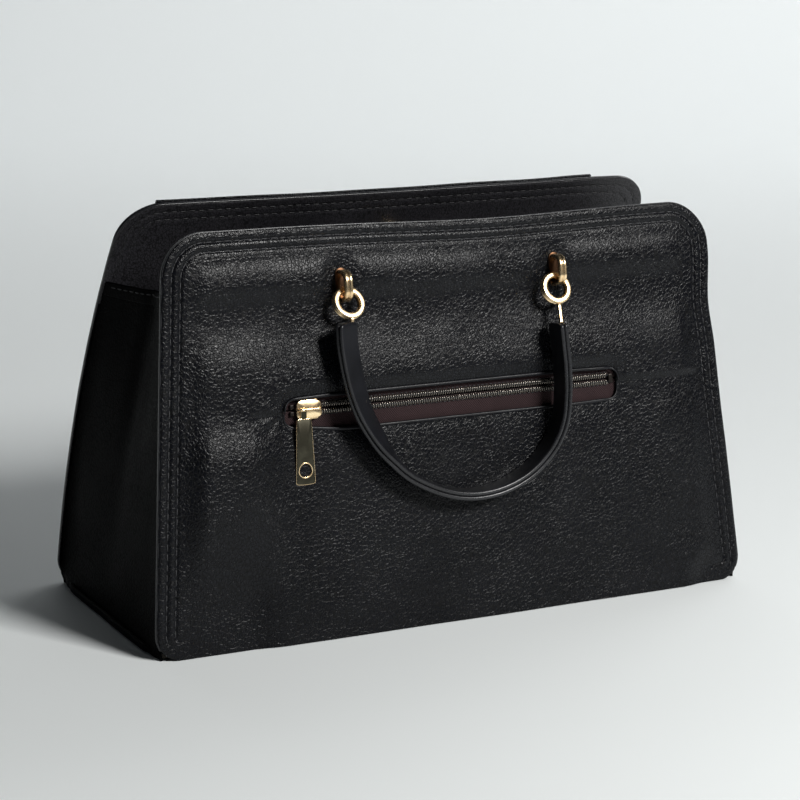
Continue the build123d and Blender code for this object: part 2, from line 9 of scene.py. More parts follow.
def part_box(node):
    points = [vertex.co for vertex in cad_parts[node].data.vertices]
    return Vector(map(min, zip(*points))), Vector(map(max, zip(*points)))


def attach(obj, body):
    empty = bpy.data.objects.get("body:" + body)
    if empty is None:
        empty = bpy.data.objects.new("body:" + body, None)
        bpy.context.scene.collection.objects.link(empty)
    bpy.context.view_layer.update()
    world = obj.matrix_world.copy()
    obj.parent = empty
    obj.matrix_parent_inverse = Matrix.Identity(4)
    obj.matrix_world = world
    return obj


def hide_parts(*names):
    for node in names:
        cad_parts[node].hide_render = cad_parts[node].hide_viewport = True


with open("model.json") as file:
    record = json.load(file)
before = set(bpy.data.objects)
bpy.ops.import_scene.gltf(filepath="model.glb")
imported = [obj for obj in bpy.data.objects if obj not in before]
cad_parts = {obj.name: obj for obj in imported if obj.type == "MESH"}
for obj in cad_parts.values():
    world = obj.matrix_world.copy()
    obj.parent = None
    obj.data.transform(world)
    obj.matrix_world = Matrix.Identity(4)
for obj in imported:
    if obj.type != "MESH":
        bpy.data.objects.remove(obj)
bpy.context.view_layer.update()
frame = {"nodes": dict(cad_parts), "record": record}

MM = 0.001

# ---- the CAD parts' driving sizes ----
BOTTOM_WIDTH, TOP_WIDTH = 361.0, 326.0
REAR_FOOT, REAR_TOP = -70.5, (-32.5, 212.0)
FRONT_FOOT, FRONT_MIDDLE, FRONT_TOP = 72.0, (61.7, 113.2), (21.2, 219.4)
TOP_CORNER, BOTTOM_CORNER = 22.0, 14.0
SHELL = 3.0
FLOOR_GAP = 0.3
FACING_DEPTHS = {"rear": 50.0, "front": 62.0}  # how far down each wall the facing shows
GUSSET_INSET = 2.5
HEM_FRONT, HEM_REAR = 175.0, 184.0
WINDOW_HALF, WINDOW_LOW, WINDOW_HIGH, WINDOW_CORNER = 101.8, 109.8, 127.8, 6.0
CHAIN_V = 121.5
LOOP_SPACING, LOOP_DROP = 130.0, 30.0
LOOP_HALF, LOOP_REACH, LOOP_WALL, LOOP_WIDTH = 7.0, 9.4, 2.4, 4.4
PIVOT_DROP, PIVOT_REACH = 1.8, 4.2
RING_RADIUS, RING_WALL, RING_DEPTH = 7.3, 2.7, 3.6
SLIDER_LEFT, SLIDER_LENGTH, SLIDER_HALF = -95.2, 14.5, 5.1
BAIL_W = 2.95
LOOP_HANG = 3.0  # how much further a wall loop reaches below its middle than above it
RING_DROPS, RING_SHIFTS = (1.8, 2.7), (0.4, -3.2)  # where each ring hangs in its loop
PULLER_U = -92.0
SNAP_DROP = 30.0  # from each wall's top edge down to the snap

STITCH_ROWS = (5.0, 10.0)  # distances of the two stitch rows from a wall's edge
STITCH_PITCH = 5.2
REAR_LEAN = math.degrees(math.atan2(REAR_TOP[0] - REAR_FOOT, REAR_TOP[1]))
REAR_SLANT = math.hypot(REAR_TOP[0] - REAR_FOOT, REAR_TOP[1])
END_LEAN = (BOTTOM_WIDTH - TOP_WIDTH) / 2 / REAR_TOP[1]


# ------------------------------------------------ small tools
def smooth_step(x, low, high):
    t = np.clip((x - low) / (high - low), 0, 1)
    return t * t * (3 - 2 * t)


def bump(x, centre, spread):
    """A rounded hump of height 1."""
    return np.exp(-(((x - centre) / spread) ** 2))


def waves(x, y, size, seed, count=10):
    """A smooth, repeatable unevenness about 1 high, whose hills are about size wide."""
    rng = np.random.RandomState(seed)
    total = np.zeros(np.broadcast(x, y).shape)
    for _ in range(count):
        angle = rng.uniform(0, 2 * math.pi)
        length = size * rng.uniform(0.8, 1.9)
        phase = rng.uniform(0, 2 * math.pi)
        total += np.sin(2 * math.pi * (x * math.cos(angle) + y * math.sin(angle)) / length + phase)
    return total / math.sqrt(count)


class Plane:
    """A plane that leans inwards at its top by lean degrees. It faces the rear at side -1."""

    def __init__(self, origin, lean, side):
        a = math.radians(lean)
        self.origin = np.array(origin, float)
        self.x = np.array((-side, 0.0, 0.0))
        self.z = np.array((0.0, side * math.cos(a), math.sin(a)))
        self.y = np.cross(self.z, self.x)

    def at(self, x, y, z):
        x, y, z = np.broadcast_arrays(*(np.asarray(q, float) for q in (x, y, z)))
        return self.origin + x[..., None] * self.x + y[..., None] * self.y + z[..., None] * self.z


def make_piece(name, verts, faces, material, body, flat=None, angle=None):
    """A mesh piece from points in millimetres. flat marks the faces that are shaded flat."""
    mesh = bpy.data.meshes.new(name)
    mesh.from_pydata((np.asarray(verts, float) * MM).tolist(), [], [list(map(int, f)) for f in faces])
    smooth = np.ones(len(mesh.polygons), bool)
    if flat is not None:
        smooth[np.asarray(flat)] = False
    mesh.polygons.foreach_set("use_smooth", smooth)
    mesh.materials.append(material)
    mesh.update()
    if angle:
        mesh.set_sharp_from_angle(angle=math.radians(angle))
    obj = bpy.data.objects.new(name, mesh)
    bpy.context.scene.collection.objects.link(obj)
    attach(obj, body)
    return obj


def join_parts(parts):
    """Several (points, faces) lists as one."""
    verts, faces, base = [], [], 0
    for points, polys in parts:
        points = np.asarray(points, float).reshape(-1, 3)
        verts.append(points)
        faces += [[i + base for i in poly] for poly in polys]
        base += len(points)
    return np.vstack(verts), faces


def grid_faces(rows, cols, keep=None, wrap=False):
    """Quads of a grid of points. keep says which cells there are; wrap joins the last column to the first."""
    faces = []
    for r in range(rows - 1):
        for c in range(cols if wrap else cols - 1):
            if keep is None or keep[r, c]:
                d = (c + 1) % cols
                faces.append((r * cols + c, r * cols + d, (r + 1) * cols + d, (r + 1) * cols + c))
    return faces


def thick_sheet(outer, inner, keep=None):
    """A closed sheet between two grids of points. Returns points, faces and the indices of its edge faces."""
    rows, cols = outer.shape[:2]
    skin = grid_faces(rows, cols, keep)
    count = rows * cols
    faces = list(skin) + [tuple(i + count for i in reversed(f)) for f in skin]
    edges = {}
    for f in skin:
        for a, b in zip(f, f[1:] + f[:1]):
            if (b, a) in edges:
                del edges[(b, a)]
            else:
                edges[(a, b)] = True
    start = len(faces)
    faces += [(b, a, a + count, b + count) for a, b in edges]
    points = np.vstack([outer.reshape(-1, 3), inner.reshape(-1, 3)])
    used = sorted({i for f in faces for i in f})
    place = {old: new for new, old in enumerate(used)}
    faces = [tuple(place[i] for i in f) for f in faces]
    return points[used], faces, list(range(start, len(faces)))


def sweep(path, across, out, profile, caps=True):
    """A tube along path. Each profile point (a, b) lies at a along across and b along out."""
    path, across, out = (np.asarray(q, float) for q in (path, across, out))
    profile = np.asarray(profile, float)
    rings = path[:, None] + profile[None, :, :1] * across[:, None] + profile[None, :, 1:] * out[:, None]
    rows, cols = rings.shape[:2]
    faces = grid_faces(rows, cols, wrap=True)
    points = rings.reshape(-1, 3)
    if caps:
        faces.append(tuple(reversed(range(cols))))
        faces.append(tuple(range((rows - 1) * cols, rows * cols)))
    return points, faces


def frames_along(path, normal):
    """Unit tangents, and the directions across a path that has a fixed normal."""
    path = np.asarray(path, float)
    tangent = np.gradient(path, axis=0)
    tangent /= np.linalg.norm(tangent, axis=1)[:, None]
    side = np.cross(tangent, normal)
    side /= np.linalg.norm(side, axis=1)[:, None]
    return tangent, side


def rounded_box_profile(width, height, radius, steps=5):
    """The outline of a rounded rectangle, anticlockwise."""
    points = []
    for cx, cy, start in ((1, 1, 0), (-1, 1, 90), (-1, -1, 180), (1, -1, 270)):
        for i in range(steps + 1):
            a = math.radians(start + 90 * i / steps)
            points.append((
                cx * (width / 2 - radius) + radius * math.cos(a),
                cy * (height / 2 - radius) + radius * math.sin(a),
            ))
    return points


def catmull(points, count):
    """A smooth line through points, count points long, evenly spaced."""
    points = np.asarray(points, float)
    padded = np.vstack([2 * points[0] - points[1], points, 2 * points[-1] - points[-2]])
    dense = []
    for i in range(1, len(padded) - 2):
        p0, p1, p2, p3 = padded[i - 1:i + 3]
        for t in np.linspace(0, 1, 24, endpoint=False):
            dense.append(0.5 * (
                2 * p1 + (p2 - p0) * t + (2 * p0 - 5 * p1 + 4 * p2 - p3) * t**2
                + (3 * p1 - p0 - 3 * p2 + p3) * t**3
            ))
    dense.append(points[-1])
    dense = np.array(dense)
    length = np.concatenate([[0], np.cumsum(np.linalg.norm(np.diff(dense[:, :2], axis=0), axis=1))])
    even = np.linspace(0, length[-1], count)
    return np.stack([np.interp(even, length, dense[:, k]) for k in range(dense.shape[1])], 1)


# ------------------------------------------------ materials
def new_material(name):
    """A material, its node tree, its shader, and its object coordinates."""
    material = bpy.data.materials.new(name)
    material.use_nodes = True
    tree = material.node_tree
    shader = tree.nodes["Principled BSDF"]
    where = tree.nodes.new("ShaderNodeTexCoord").outputs["Object"]
    return material, tree, shader, where


def node(tree, kind, inputs=(), **settings):
    """A node with its settings and inputs; an input is a value or another node's output."""
    made = tree.nodes.new(kind)
    for key, value in settings.items():
        setattr(made, key, value)
    for key, value in dict(inputs).items():
        if isinstance(value, bpy.types.NodeSocket):
            tree.links.new(value, made.inputs[key])
        else:
            made.inputs[key].default_value = value
    return made


def maths(tree, operation, a, b=0.0, clamp=False):
    return node(tree, "ShaderNodeMath", {0: a, 1: b}, operation=operation, use_clamp=clamp).outputs[0]


def ramp(tree, value, low, high, out_low=0.0, out_high=1.0):
    """value from low..high, smoothly, to out_low..out_high."""
    made = node(
        tree,
        "ShaderNodeMapRange",
        {"Value": value, "From Min": low, "From Max": high, "To Min": out_low, "To Max": out_high},
        interpolation_type="SMOOTHSTEP",
    )
    return made.outputs["Result"]


def mix_colour(tree, factor, a, b):
    made = node(tree, "ShaderNodeMix", {"Factor": factor}, data_type="RGBA")
    for index, colour in ((6, a), (7, b)):
        if isinstance(colour, bpy.types.NodeSocket):
            tree.links.new(colour, made.inputs[index])
        else:
            made.inputs[index].default_value = (*colour, 1)
    return made.outputs[2]


def noise_value(tree, where, scale, detail=2.0, roughness=0.5):
    made = node(
        tree, "ShaderNodeTexNoise",
        {"Vector": where, "Scale": scale, "Detail": detail, "Roughness": roughness}
    )
    return made.outputs["Fac"]


def leather_material(name, top=(0.0042, 0.0047, 0.0068), low=(0.0008, 0.0008, 0.0012), rough=0.235,
                     grain=0.68, scale=520.0, specular=0.22):
    """Black pebbled leather: smooth cells, creases between them, finer grain on top, duller patches. The
    colour darkens towards low inside the creases: painted shade.
    """
    material, tree, shader, where = new_material(name)
    wobble = node(tree, "ShaderNodeTexNoise", {"Vector": where, "Scale": 260.0, "Detail": 2.0})
    shift = node(
        tree, "ShaderNodeVectorMath", {0: wobble.outputs["Color"], 1: (0.5, 0.5, 0.5)}, operation="SUBTRACT"
    )
    shift = node(tree, "ShaderNodeVectorMath", {0: shift.outputs[0], "Scale": 0.0026}, operation="SCALE")
    bent = node(tree, "ShaderNodeVectorMath", {0: where, 1: shift.outputs[0]}, operation="ADD").outputs[0]
    tall = node(tree, "ShaderNodeMapping", {"Vector": bent, "Scale": (1.15, 1.0, 0.85)}).outputs[0]
    cells = node(tree, "ShaderNodeTexVoronoi", {"Vector": tall, "Scale": scale}, feature="DISTANCE_TO_EDGE")
    crease = ramp(tree, cells.outputs["Distance"], 0.0, 0.18)
    small = node(
        tree, "ShaderNodeTexVoronoi", {"Vector": tall, "Scale": scale * 2.2}, feature="DISTANCE_TO_EDGE"
    )
    small_crease = ramp(tree, small.outputs["Distance"], 0.0, 0.18)
    fine = noise_value(tree, where, 2600.0, 3.0, 0.6)
    broad = noise_value(tree, where, 26.0, 2.0)
    depth = ramp(tree, noise_value(tree, where, 30.0, 1.0), 0.3, 0.7, 0.55, 1.0)
    height = maths(tree, "MULTIPLY", crease, depth)
    height = maths(tree, "ADD", height, maths(tree, "MULTIPLY", small_crease, 0.16))
    height = maths(tree, "ADD", height, maths(tree, "MULTIPLY", fine, 0.05))
    bumps = node(
        tree, "ShaderNodeBump", {"Height": height, "Strength": min(1.0, grain), "Distance": 0.00024 * grain}
    )
    tree.links.new(bumps.outputs["Normal"], shader.inputs["Normal"])
    # painted shade: the base colour falls from top to low inside the creases, standing in for the shade in
    # them; the broad noise adds a random tone
    tone = maths(tree, "MULTIPLY", crease, ramp(tree, broad, 0.25, 0.75, 0.72, 1.0))
    tree.links.new(mix_colour(tree, tone, low, top), shader.inputs["Base Color"])
    gloss = maths(
        tree, "ADD", ramp(tree, crease, 0.0, 1.0, rough + 0.12, rough),
        ramp(tree, broad, 0.2, 0.8, -0.03, 0.05)
    )
    tree.links.new(gloss, shader.inputs["Roughness"])
    shader.inputs["Specular IOR Level"].default_value = specular
    return material


def smooth_leather_material(name, colour=(0.0085, 0.0090, 0.0115), rough=0.34, specular=0.22):
    """Smooth black leather with fine pores, for the straps' inner faces and the small edges."""
    material, tree, shader, where = new_material(name)
    pores = noise_value(tree, where, 1500.0, 4.0, 0.65)
    broad = noise_value(tree, where, 60.0, 2.0)
    bumps = node(tree, "ShaderNodeBump", {"Height": pores, "Strength": 0.25, "Distance": 0.00012})
    tree.links.new(bumps.outputs["Normal"], shader.inputs["Normal"])
    dark = tuple(c * 0.6 for c in colour)
    tree.links.new(mix_colour(tree, ramp(tree, broad, 0.3, 0.7), dark, colour), shader.inputs["Base Color"])
    tree.links.new(ramp(tree, pores, 0.3, 0.7, rough - 0.04, rough + 0.08), shader.inputs["Roughness"])
    shader.inputs["Specular IOR Level"].default_value = specular
    return material


def cloth_material(name, dark, light, thread=0.45, rough=0.85, ribs=(1.0, 1.0)):
    """Plain woven cloth whose threads are thread mm apart."""
    material, tree, shader, where = new_material(name)
    parts = node(tree, "ShaderNodeSeparateXYZ", {0: where})
    turn = 2 * math.pi / (thread * MM)
    weft = maths(tree, "SINE", maths(tree, "MULTIPLY", parts.outputs[0], turn * ribs[0]))
    upright = maths(tree, "ADD", parts.outputs[2], parts.outputs[1])
    warp = maths(tree, "SINE", maths(tree, "MULTIPLY", upright, turn * ribs[1]))
    weave = maths(tree, "ADD", maths(tree, "MULTIPLY", maths(tree, "MULTIPLY", weft, warp), 0.5), 0.5)
    fuzz = noise_value(tree, where, 2200.0, 3.0, 0.6)
    height = maths(tree, "ADD", weave, maths(tree, "MULTIPLY", fuzz, 0.4))
    bumps = node(tree, "ShaderNodeBump", {"Height": height, "Strength": 0.9, "Distance": 0.00022})
    tree.links.new(bumps.outputs["Normal"], shader.inputs["Normal"])
    tone = maths(tree, "MULTIPLY", weave, ramp(tree, noise_value(tree, where, 70.0), 0.3, 0.7, 0.7, 1.0))
    tree.links.new(mix_colour(tree, tone, dark, light), shader.inputs["Base Color"])
    shader.inputs["Roughness"].default_value = rough
    shader.inputs["Specular IOR Level"].default_value = 0.2
    return material


def metal_material(name, bright, dull, rough=0.15, scratches=0.25, brushed=False):
    """Plated metal: fine scratches, duller patches and a slight unevenness."""
    material, tree, shader, where = new_material(name)
    patches = noise_value(tree, where, 160.0, 3.0)
    stretched = node(
        tree, "ShaderNodeMapping",
        {"Vector": where, "Scale": (1.0, 1.0, 0.06) if brushed else (1.0, 0.35, 1.0)}
    )
    lines = noise_value(tree, stretched.outputs[0], 5200.0 if brushed else 2600.0, 3.0, 0.6)
    tree.links.new(
        mix_colour(tree, ramp(tree, patches, 0.3, 0.75), bright, dull), shader.inputs["Base Color"]
    )
    gloss = maths(
        tree, "ADD", ramp(tree, patches, 0.25, 0.8, rough - 0.03, rough + 0.07),
        maths(tree, "MULTIPLY", lines, 0.08)
    )
    tree.links.new(gloss, shader.inputs["Roughness"])
    bumps = node(tree, "ShaderNodeBump", {"Height": lines, "Strength": scratches, "Distance": 0.00002})
    tree.links.new(bumps.outputs["Normal"], shader.inputs["Normal"])
    shader.inputs["Metallic"].default_value = 1.0
    return material


def thread_material(name, colour=(0.010, 0.010, 0.012)):
    """Waxed sewing thread, with the twist of its strands."""
    material, tree, shader, where = new_material(name)
    twist = node(
        tree, "ShaderNodeTexWave", {"Vector": where, "Scale": 900.0, "Distortion": 1.5},
        bands_direction="DIAGONAL"
    )
    bumps = node(
        tree, "ShaderNodeBump", {"Height": twist.outputs["Fac"], "Strength": 0.6, "Distance": 0.0001}
    )
    tree.links.new(bumps.outputs["Normal"], shader.inputs["Normal"])
    dark = tuple(c * 0.5 for c in colour)
    tree.links.new(mix_colour(tree, twist.outputs["Fac"], dark, colour), shader.inputs["Base Color"])
    shader.inputs["Roughness"].default_value = 0.42
    return material


def board_material(name):
    """Dark brown pressed fibre board."""
    material, tree, shader, where = new_material(name)
    fibres = noise_value(tree, where, 900.0, 5.0, 0.7)
    tree.links.new(
        mix_colour(tree, fibres, (0.020, 0.017, 0.014), (0.050, 0.042, 0.034)), shader.inputs["Base Color"]
    )
    bumps = node(tree, "ShaderNodeBump", {"Height": fibres, "Strength": 0.4, "Distance": 0.0001})
    tree.links.new(bumps.outputs["Normal"], shader.inputs["Normal"])
    shader.inputs["Roughness"].default_value = 0.9
    return material


def plastic_material(name, colour, rough):
    """Dark moulded coil plastic with a metallic lustre."""
    material, tree, shader, where = new_material(name)
    streaks = noise_value(tree, where, 1800.0, 2.0)
    tree.links.new(
        mix_colour(tree, streaks, tuple(c * 0.7 for c in colour), colour), shader.inputs["Base Color"]
    )
    tree.links.new(ramp(tree, streaks, 0.2, 0.8, rough - 0.05, rough + 0.08), shader.inputs["Roughness"])
    shader.inputs["Metallic"].default_value = 0.8
    return material


LEATHER = leather_material("black_pebbled_leather")
# painted shade: a darker, less reflective copy of the same black leather for the gussets, their hems and the
# base rims, which stand out of the light
SHADED_GUSSET_LEATHER = leather_material(
    "black_gusset_leather_painted_shade", (0.0010, 0.0010, 0.0013), (0.0004, 0.0004, 0.0005), rough=0.45, grain=0.7,
    specular=0.04
)
# painted light: a copy of the same black leather for the inner facings, its colour raised well above the
# outer leather's to stand in for light inside the bag
LIT_FACING_LEATHER = leather_material(
    "black_facing_leather_painted_light", (0.030, 0.029, 0.034), rough=0.42, grain=0.6, scale=640.0, specular=0.4
)
LEATHER_STRAP = leather_material("black_strap_leather", rough=0.34, grain=0.4, scale=760.0)
LEATHER_SMOOTH = smooth_leather_material("smooth_black_leather")
EDGE_PAINT = smooth_leather_material("black_edge_paint", (0.016, 0.0165, 0.0195), 0.28, 0.5)
LINING = cloth_material("lining_weave", (0.018, 0.016, 0.019), (0.060, 0.054, 0.062))
TAPE = cloth_material(
    "zip_tape_weave", (0.009, 0.0045, 0.0050), (0.050, 0.028, 0.030), thread=1.25, ribs=(1.0, 0.8)
)
# black thread whose colour is lifted to dark grey: partly painted highlight standing in for the glints on the
# outer stitches
THREAD = thread_material("black_thread_painted_highlight", (0.030, 0.030, 0.034))
INNER_THREAD = thread_material("black_inner_thread", (0.012, 0.012, 0.014))
GOLD = metal_material("light_gold_plating", (0.95, 0.74, 0.46), (0.84, 0.60, 0.34), 0.19)
# the loop plates' gold, darkened almost to black: partly their own dark finish, partly painted shade where
# they sit under the loops and rings
SHADED_DARK_GOLD = metal_material("dark_gold_plating_painted_shade", (0.085, 0.044, 0.024), (0.05, 0.026, 0.014), 0.30)
SATIN_GOLD = metal_material(
    "satin_gold_plating", (0.062, 0.058, 0.042), (0.040, 0.037, 0.027), 0.30, 0.5, brushed=True
)
STEEL = metal_material("plated_steel", (0.58, 0.58, 0.60), (0.42, 0.42, 0.44), 0.3)
COIL = plastic_material("zip_coil_plastic", (0.34, 0.31, 0.27), 0.20)
STOP_METAL = plastic_material("blackened_stop_metal", (0.020, 0.016, 0.014), 0.4)
BOARD = board_material("fibre_board")


# ------------------------------------------------ the two broad walls
class Wall:
    """One broad wall. u is along the width, v up the wall, w out of its face."""

    def __init__(self, high, r_low=BOTTOM_CORNER, r_high=TOP_CORNER, low=FLOOR_GAP):
        self.low, self.high, self.r_low, self.r_high = low, high, r_low, r_high
        side = np.concatenate([np.linspace(self.low, self.high - self.r_high, 190), self.arc_rows()])
        left = np.stack([-self.half(side), side], 1)
        across = np.linspace(-self.half(self.high), self.half(self.high), 260)[1:-1]
        top = np.stack([across, np.full_like(across, self.high)], 1)
        self.edge = np.vstack([left, top, left[::-1] * (-1, 1)])

    def arc_rows(self):
        angles = np.radians(np.linspace(0, 90, 30))[1:]
        return self.high - self.r_high + self.r_high * np.sin(angles)

    def height(self, v):
        """Height above the floor at v."""
        return v * math.cos(math.radians(REAR_LEAN))

    def half(self, v, inset=0.0):
        """Half the width at v, the rounded corners included."""
        v = np.asarray(v, float)
        half = BOTTOM_WIDTH / 2 - END_LEAN * self.height(v) - inset
        up = np.clip(v - (self.high - self.r_high), 0, self.r_high)
        down = np.clip(self.low + self.r_low - v, 0, self.r_low)
        half = half - self.r_high + np.sqrt(self.r_high**2 - up**2)
        return half - self.r_low + np.sqrt(self.r_low**2 - down**2)

    def edge_distance(self, u, v):
        """Distance to the sewn edge: the two sides and the top."""
        flat = np.stack([np.ravel(u), np.ravel(v)], 1)
        found = np.empty(len(flat))
        for i in range(0, len(flat), 4000):
            d = flat[i:i + 4000, None] - self.edge[None]
            found[i:i + 4000] = np.sqrt((d**2).sum(2).min(1))
        return found.reshape(np.shape(u))

    def seam(self, inset, low):
        """The line inset mm inside the sewn edge, from the foot of one side over the top to the other."""
        line = self.edge[self.edge[:, 1] >= low]
        tangent = np.gradient(line, axis=0)
        tangent /= np.linalg.norm(tangent, axis=1)[:, None]
        inward = np.stack([tangent[:, 1], -tangent[:, 0]], 1)
        return line + inset * inward


def rolled(distance, radius):
    """How far a rolled edge lies below the face."""
    t = np.clip(1 - distance / radius, 0, 1)
    return radius * (1 - np.sqrt(1 - t**2))


def seam_relief(distance):
    """Two sewn channels and the leather raised between and beside them."""
    relief = sum(-0.72 * bump(distance, row, 0.80) for row in STITCH_ROWS)
    relief = relief + 0.34 * bump(distance, 7.5, 1.3) + 0.18 * bump(distance, 13.0, 2.5)
    return relief + 0.20 * bump(distance, 2.6, 1.2)


def window_distance(u, v):
    """Distance outwards from the zip's window."""
    qu = np.abs(u) - (WINDOW_HALF - WINDOW_CORNER)
    qv = np.abs(v - (WINDOW_LOW + WINDOW_HIGH) / 2) - ((WINDOW_HIGH - WINDOW_LOW) / 2 - WINDOW_CORNER)
    outside = np.hypot(np.maximum(qu, 0), np.maximum(qv, 0))
    return outside + np.minimum(np.maximum(qu, qv), 0) - WINDOW_CORNER


class RearWall(Wall):
    plane = Plane((0, REAR_FOOT, 0), REAR_LEAN, -1)

    def relief(self, u, v):
        """How far the outer face stands out from its plane."""
        edge = self.edge_distance(u, v)
        hole = window_distance(u, v)
        w = seam_relief(edge) * smooth_step(v, 5, 13) - rolled(edge, 1.3)
        w = w - rolled(np.maximum(hole, 0), 0.9) * (hole > -0.01)
        inner = smooth_step(edge, 10.5, 26)
        beside = np.minimum(1, smooth_step(-u, 98, 128) + 0.35 * smooth_step(u, 104, 135))
        crest = 133 + 6 * beside
        rise = (
            3.2 * (1 - 0.58 * bump(hole, 0, 4.5)) * (1 - smooth_step(v, crest, 171))
            + 1.7 * smooth_step(v, 174, 188)
        )
        second = 3.5 * beside * (1 - smooth_step(v, 95, 124))
        fall = smooth_step(v, 18, 84) * beside + (1 - beside)
        closed = 1 - 0.80 * (v < CHAIN_V) * (1 - beside) * np.exp(-np.abs(np.minimum(v - WINDOW_LOW, 0)) / 60)
        swell = 0.05 + (rise * closed + second) * fall
        w = w + inner * (swell + 0.30 * waves(u, v, 95, 3) + 0.07 * waves(u, v, 24, 5))
        for loop in (-LOOP_SPACING / 2, LOOP_SPACING / 2):
            away = np.hypot((u - loop) / 9.0, (v - self.high + LOOP_DROP) / 17.0)
            w = w * (1 - np.exp(-(away**4)))
        for end in (-1, 1):
            du, dv = u - end * (WINDOW_HALF + 2), v - CHAIN_V + 2
            radius, turn = np.hypot(du, dv), np.arctan2(dv, du)
            w = w + 0.5 * np.cos(7 * turn + 0.6) * bump(radius, 7, 6) * (hole > 0.4)
        return np.where((edge > 3) & (hole > 15), np.maximum(w, -0.85), w)

    def place(self, u, v, w):
        u, v, w = np.broadcast_arrays(*(np.asarray(q, float) for q in (u, v, w)))
        sag = 0.7 - 2.4 * bump(u, 25, 70)
        rise = v + sag * smooth_step(v, 120, self.high)
        right = 2.0 * bump(v, 190, 18) - 1.6 * bump(v, 158, 17) - 0.6 * bump(v, 110, 30)
        wide = u + right * smooth_step(u, 90, 170)
        pinch = 2.3 * bump(v, WINDOW_LOW, 7) * smooth_step(-u, 62, 98) * smooth_step(u, -118, -101)
        return self.plane.at(wide, rise + pinch, w)


def circle_through(p, q, r):
    """Centre and radius of the circle through three points."""
    d = 2 * (p[0] * (q[1] - r[1]) + q[0] * (r[1] - p[1]) + r[0] * (p[1] - q[1]))
    pp, qq, rr = (a[0] ** 2 + a[1] ** 2 for a in (p, q, r))
    x = (pp * (q[1] - r[1]) + qq * (r[1] - p[1]) + rr * (p[1] - q[1])) / d
    y = (pp * (r[0] - q[0]) + qq * (p[0] - r[0]) + rr * (q[0] - p[0])) / d
    return x, y, math.hypot(p[0] - x, p[1] - y)


CROWN_Y, CROWN_Z, CROWN_R = circle_through((FRONT_FOOT, 0.0), FRONT_MIDDLE, FRONT_TOP)
FOOT_ANGLE = math.atan2(-CROWN_Z, FRONT_FOOT - CROWN_Y)
TOP_ANGLE = math.atan2(FRONT_TOP[1] - CROWN_Z, FRONT_TOP[0] - CROWN_Y)
FRONT_SLANT = CROWN_R * (TOP_ANGLE - FOOT_ANGLE)


class FrontWall(Wall):
    def height(self, v):
        return CROWN_Z + CROWN_R * np.sin(FOOT_ANGLE + np.asarray(v) / CROWN_R)

    def relief(self, u, v):
        edge = self.edge_distance(u, v)
        w = seam_relief(edge) - rolled(edge, 1.3)
        inner = smooth_step(edge, 12, 40)
        return w + inner * (0.6 * waves(u, v, 100, 13) + 0.15 * waves(u, v, 24, 15))

    def place(self, u, v, w):
        u, v, w = np.broadcast_arrays(*(np.asarray(q, float) for q in (u, v, w)))
        sag = -0.8 * bump(u, -20, 80) + 0.5 * bump(u, 118, 20)
        angle = FOOT_ANGLE + (v + sag * smooth_step(v, 140, self.high)) / CROWN_R
        radius = CROWN_R + w
        return np.stack([u, CROWN_Y + radius * np.cos(angle), CROWN_Z + radius * np.sin(angle)], -1)


REAR = RearWall(REAR_SLANT)
FRONT = FrontWall(FRONT_SLANT)
EDGE_STEPS = np.concatenate([[0, 0.12, 0.3, 0.6, 0.95, 1.4], np.arange(2.0, 14.1, 0.6)])
HOLE_STEPS = np.array([0, 0.15, 0.35, 0.6, 1.0, 1.6, 2.4])


def close_rows(values, gap=0.04):
    """Sorted values with none closer than gap."""
    kept = []
    for value in sorted(values):
        if not kept or value - kept[-1] > gap:
            kept.append(value)
    return np.array(kept)


def wall_grid(wall, low, high, coarse=2.2, hole=False, inset=0.0, sewn_top=True, round_low=True):
    """u and v of a grid that follows a wall's outline between two heights, and which of its cells exist."""
    rows = list(np.arange(low, high, coarse)) + [low, high]
    if sewn_top:
        rows += list(high - EDGE_STEPS) + list(wall.arc_rows()) + [high - 0.05, high - 0.02]
    else:
        rows += list(high - EDGE_STEPS[:8])
    if round_low:
        rows += list(low + wall.r_low * (1 - np.cos(np.radians(np.linspace(0, 90, 14)))))
    rows += list(low + EDGE_STEPS[:8])
    if hole:
        rows = [r for r in rows if not WINDOW_LOW - 2.5 < r < WINDOW_HIGH + 2.5]
        rows += list(WINDOW_LOW - HOLE_STEPS) + list(WINDOW_HIGH + HOLE_STEPS)
        arc = WINDOW_CORNER * (1 - np.cos(np.radians(np.linspace(0, 90, 7))))
        rows += list(WINDOW_LOW + arc) + list(WINDOW_HIGH - arc)
        rows += list(np.linspace(WINDOW_LOW + WINDOW_CORNER, WINDOW_HIGH - WINDOW_CORNER, 5))
    rows = close_rows([r for r in rows if low <= r <= high])
    rows[0], rows[-1] = low, high
    if hole:
        offset = np.clip(np.abs(rows - (WINDOW_LOW + WINDOW_HIGH) / 2), 3.0, 9.0) - 3.0
        inner = WINDOW_HALF - WINDOW_CORNER + np.sqrt(np.maximum(WINDOW_CORNER**2 - offset**2, 0))
        near = HOLE_STEPS
    else:
        inner = np.full(len(rows), 100.0)
        near = np.array([0.0])
    cols = []
    half = wall.half(rows) - inset
    for d in EDGE_STEPS:
        cols.append(half - d)
    last = EDGE_STEPS[-1]
    spread = np.linspace(0, 1, 27)[1:-1]
    for t in spread:
        cols.append((half - last) * (1 - t) + (inner + near[-1]) * t)
    for d in near[::-1]:
        cols.append(inner + d)
    side = np.array(cols)
    middle = np.array([inner * t for t in np.linspace(1, -1, 93)[1:-1]])
    u = np.vstack([-side, -middle, side[::-1]]).T
    v = np.repeat(rows[:, None], u.shape[1], 1)
    keep = np.ones((u.shape[0] - 1, u.shape[1] - 1), bool)
    if hole:
        mid_v = (v[:-1, :-1] + v[1:, 1:]) / 2
        first = len(side) - 1
        columns = np.arange(u.shape[1] - 1)[None]
        in_columns = (columns >= first) & (columns < u.shape[1] - len(side))
        keep &= ~((mid_v > WINDOW_LOW) & (mid_v < WINDOW_HIGH) & in_columns)
    return u, v, keep


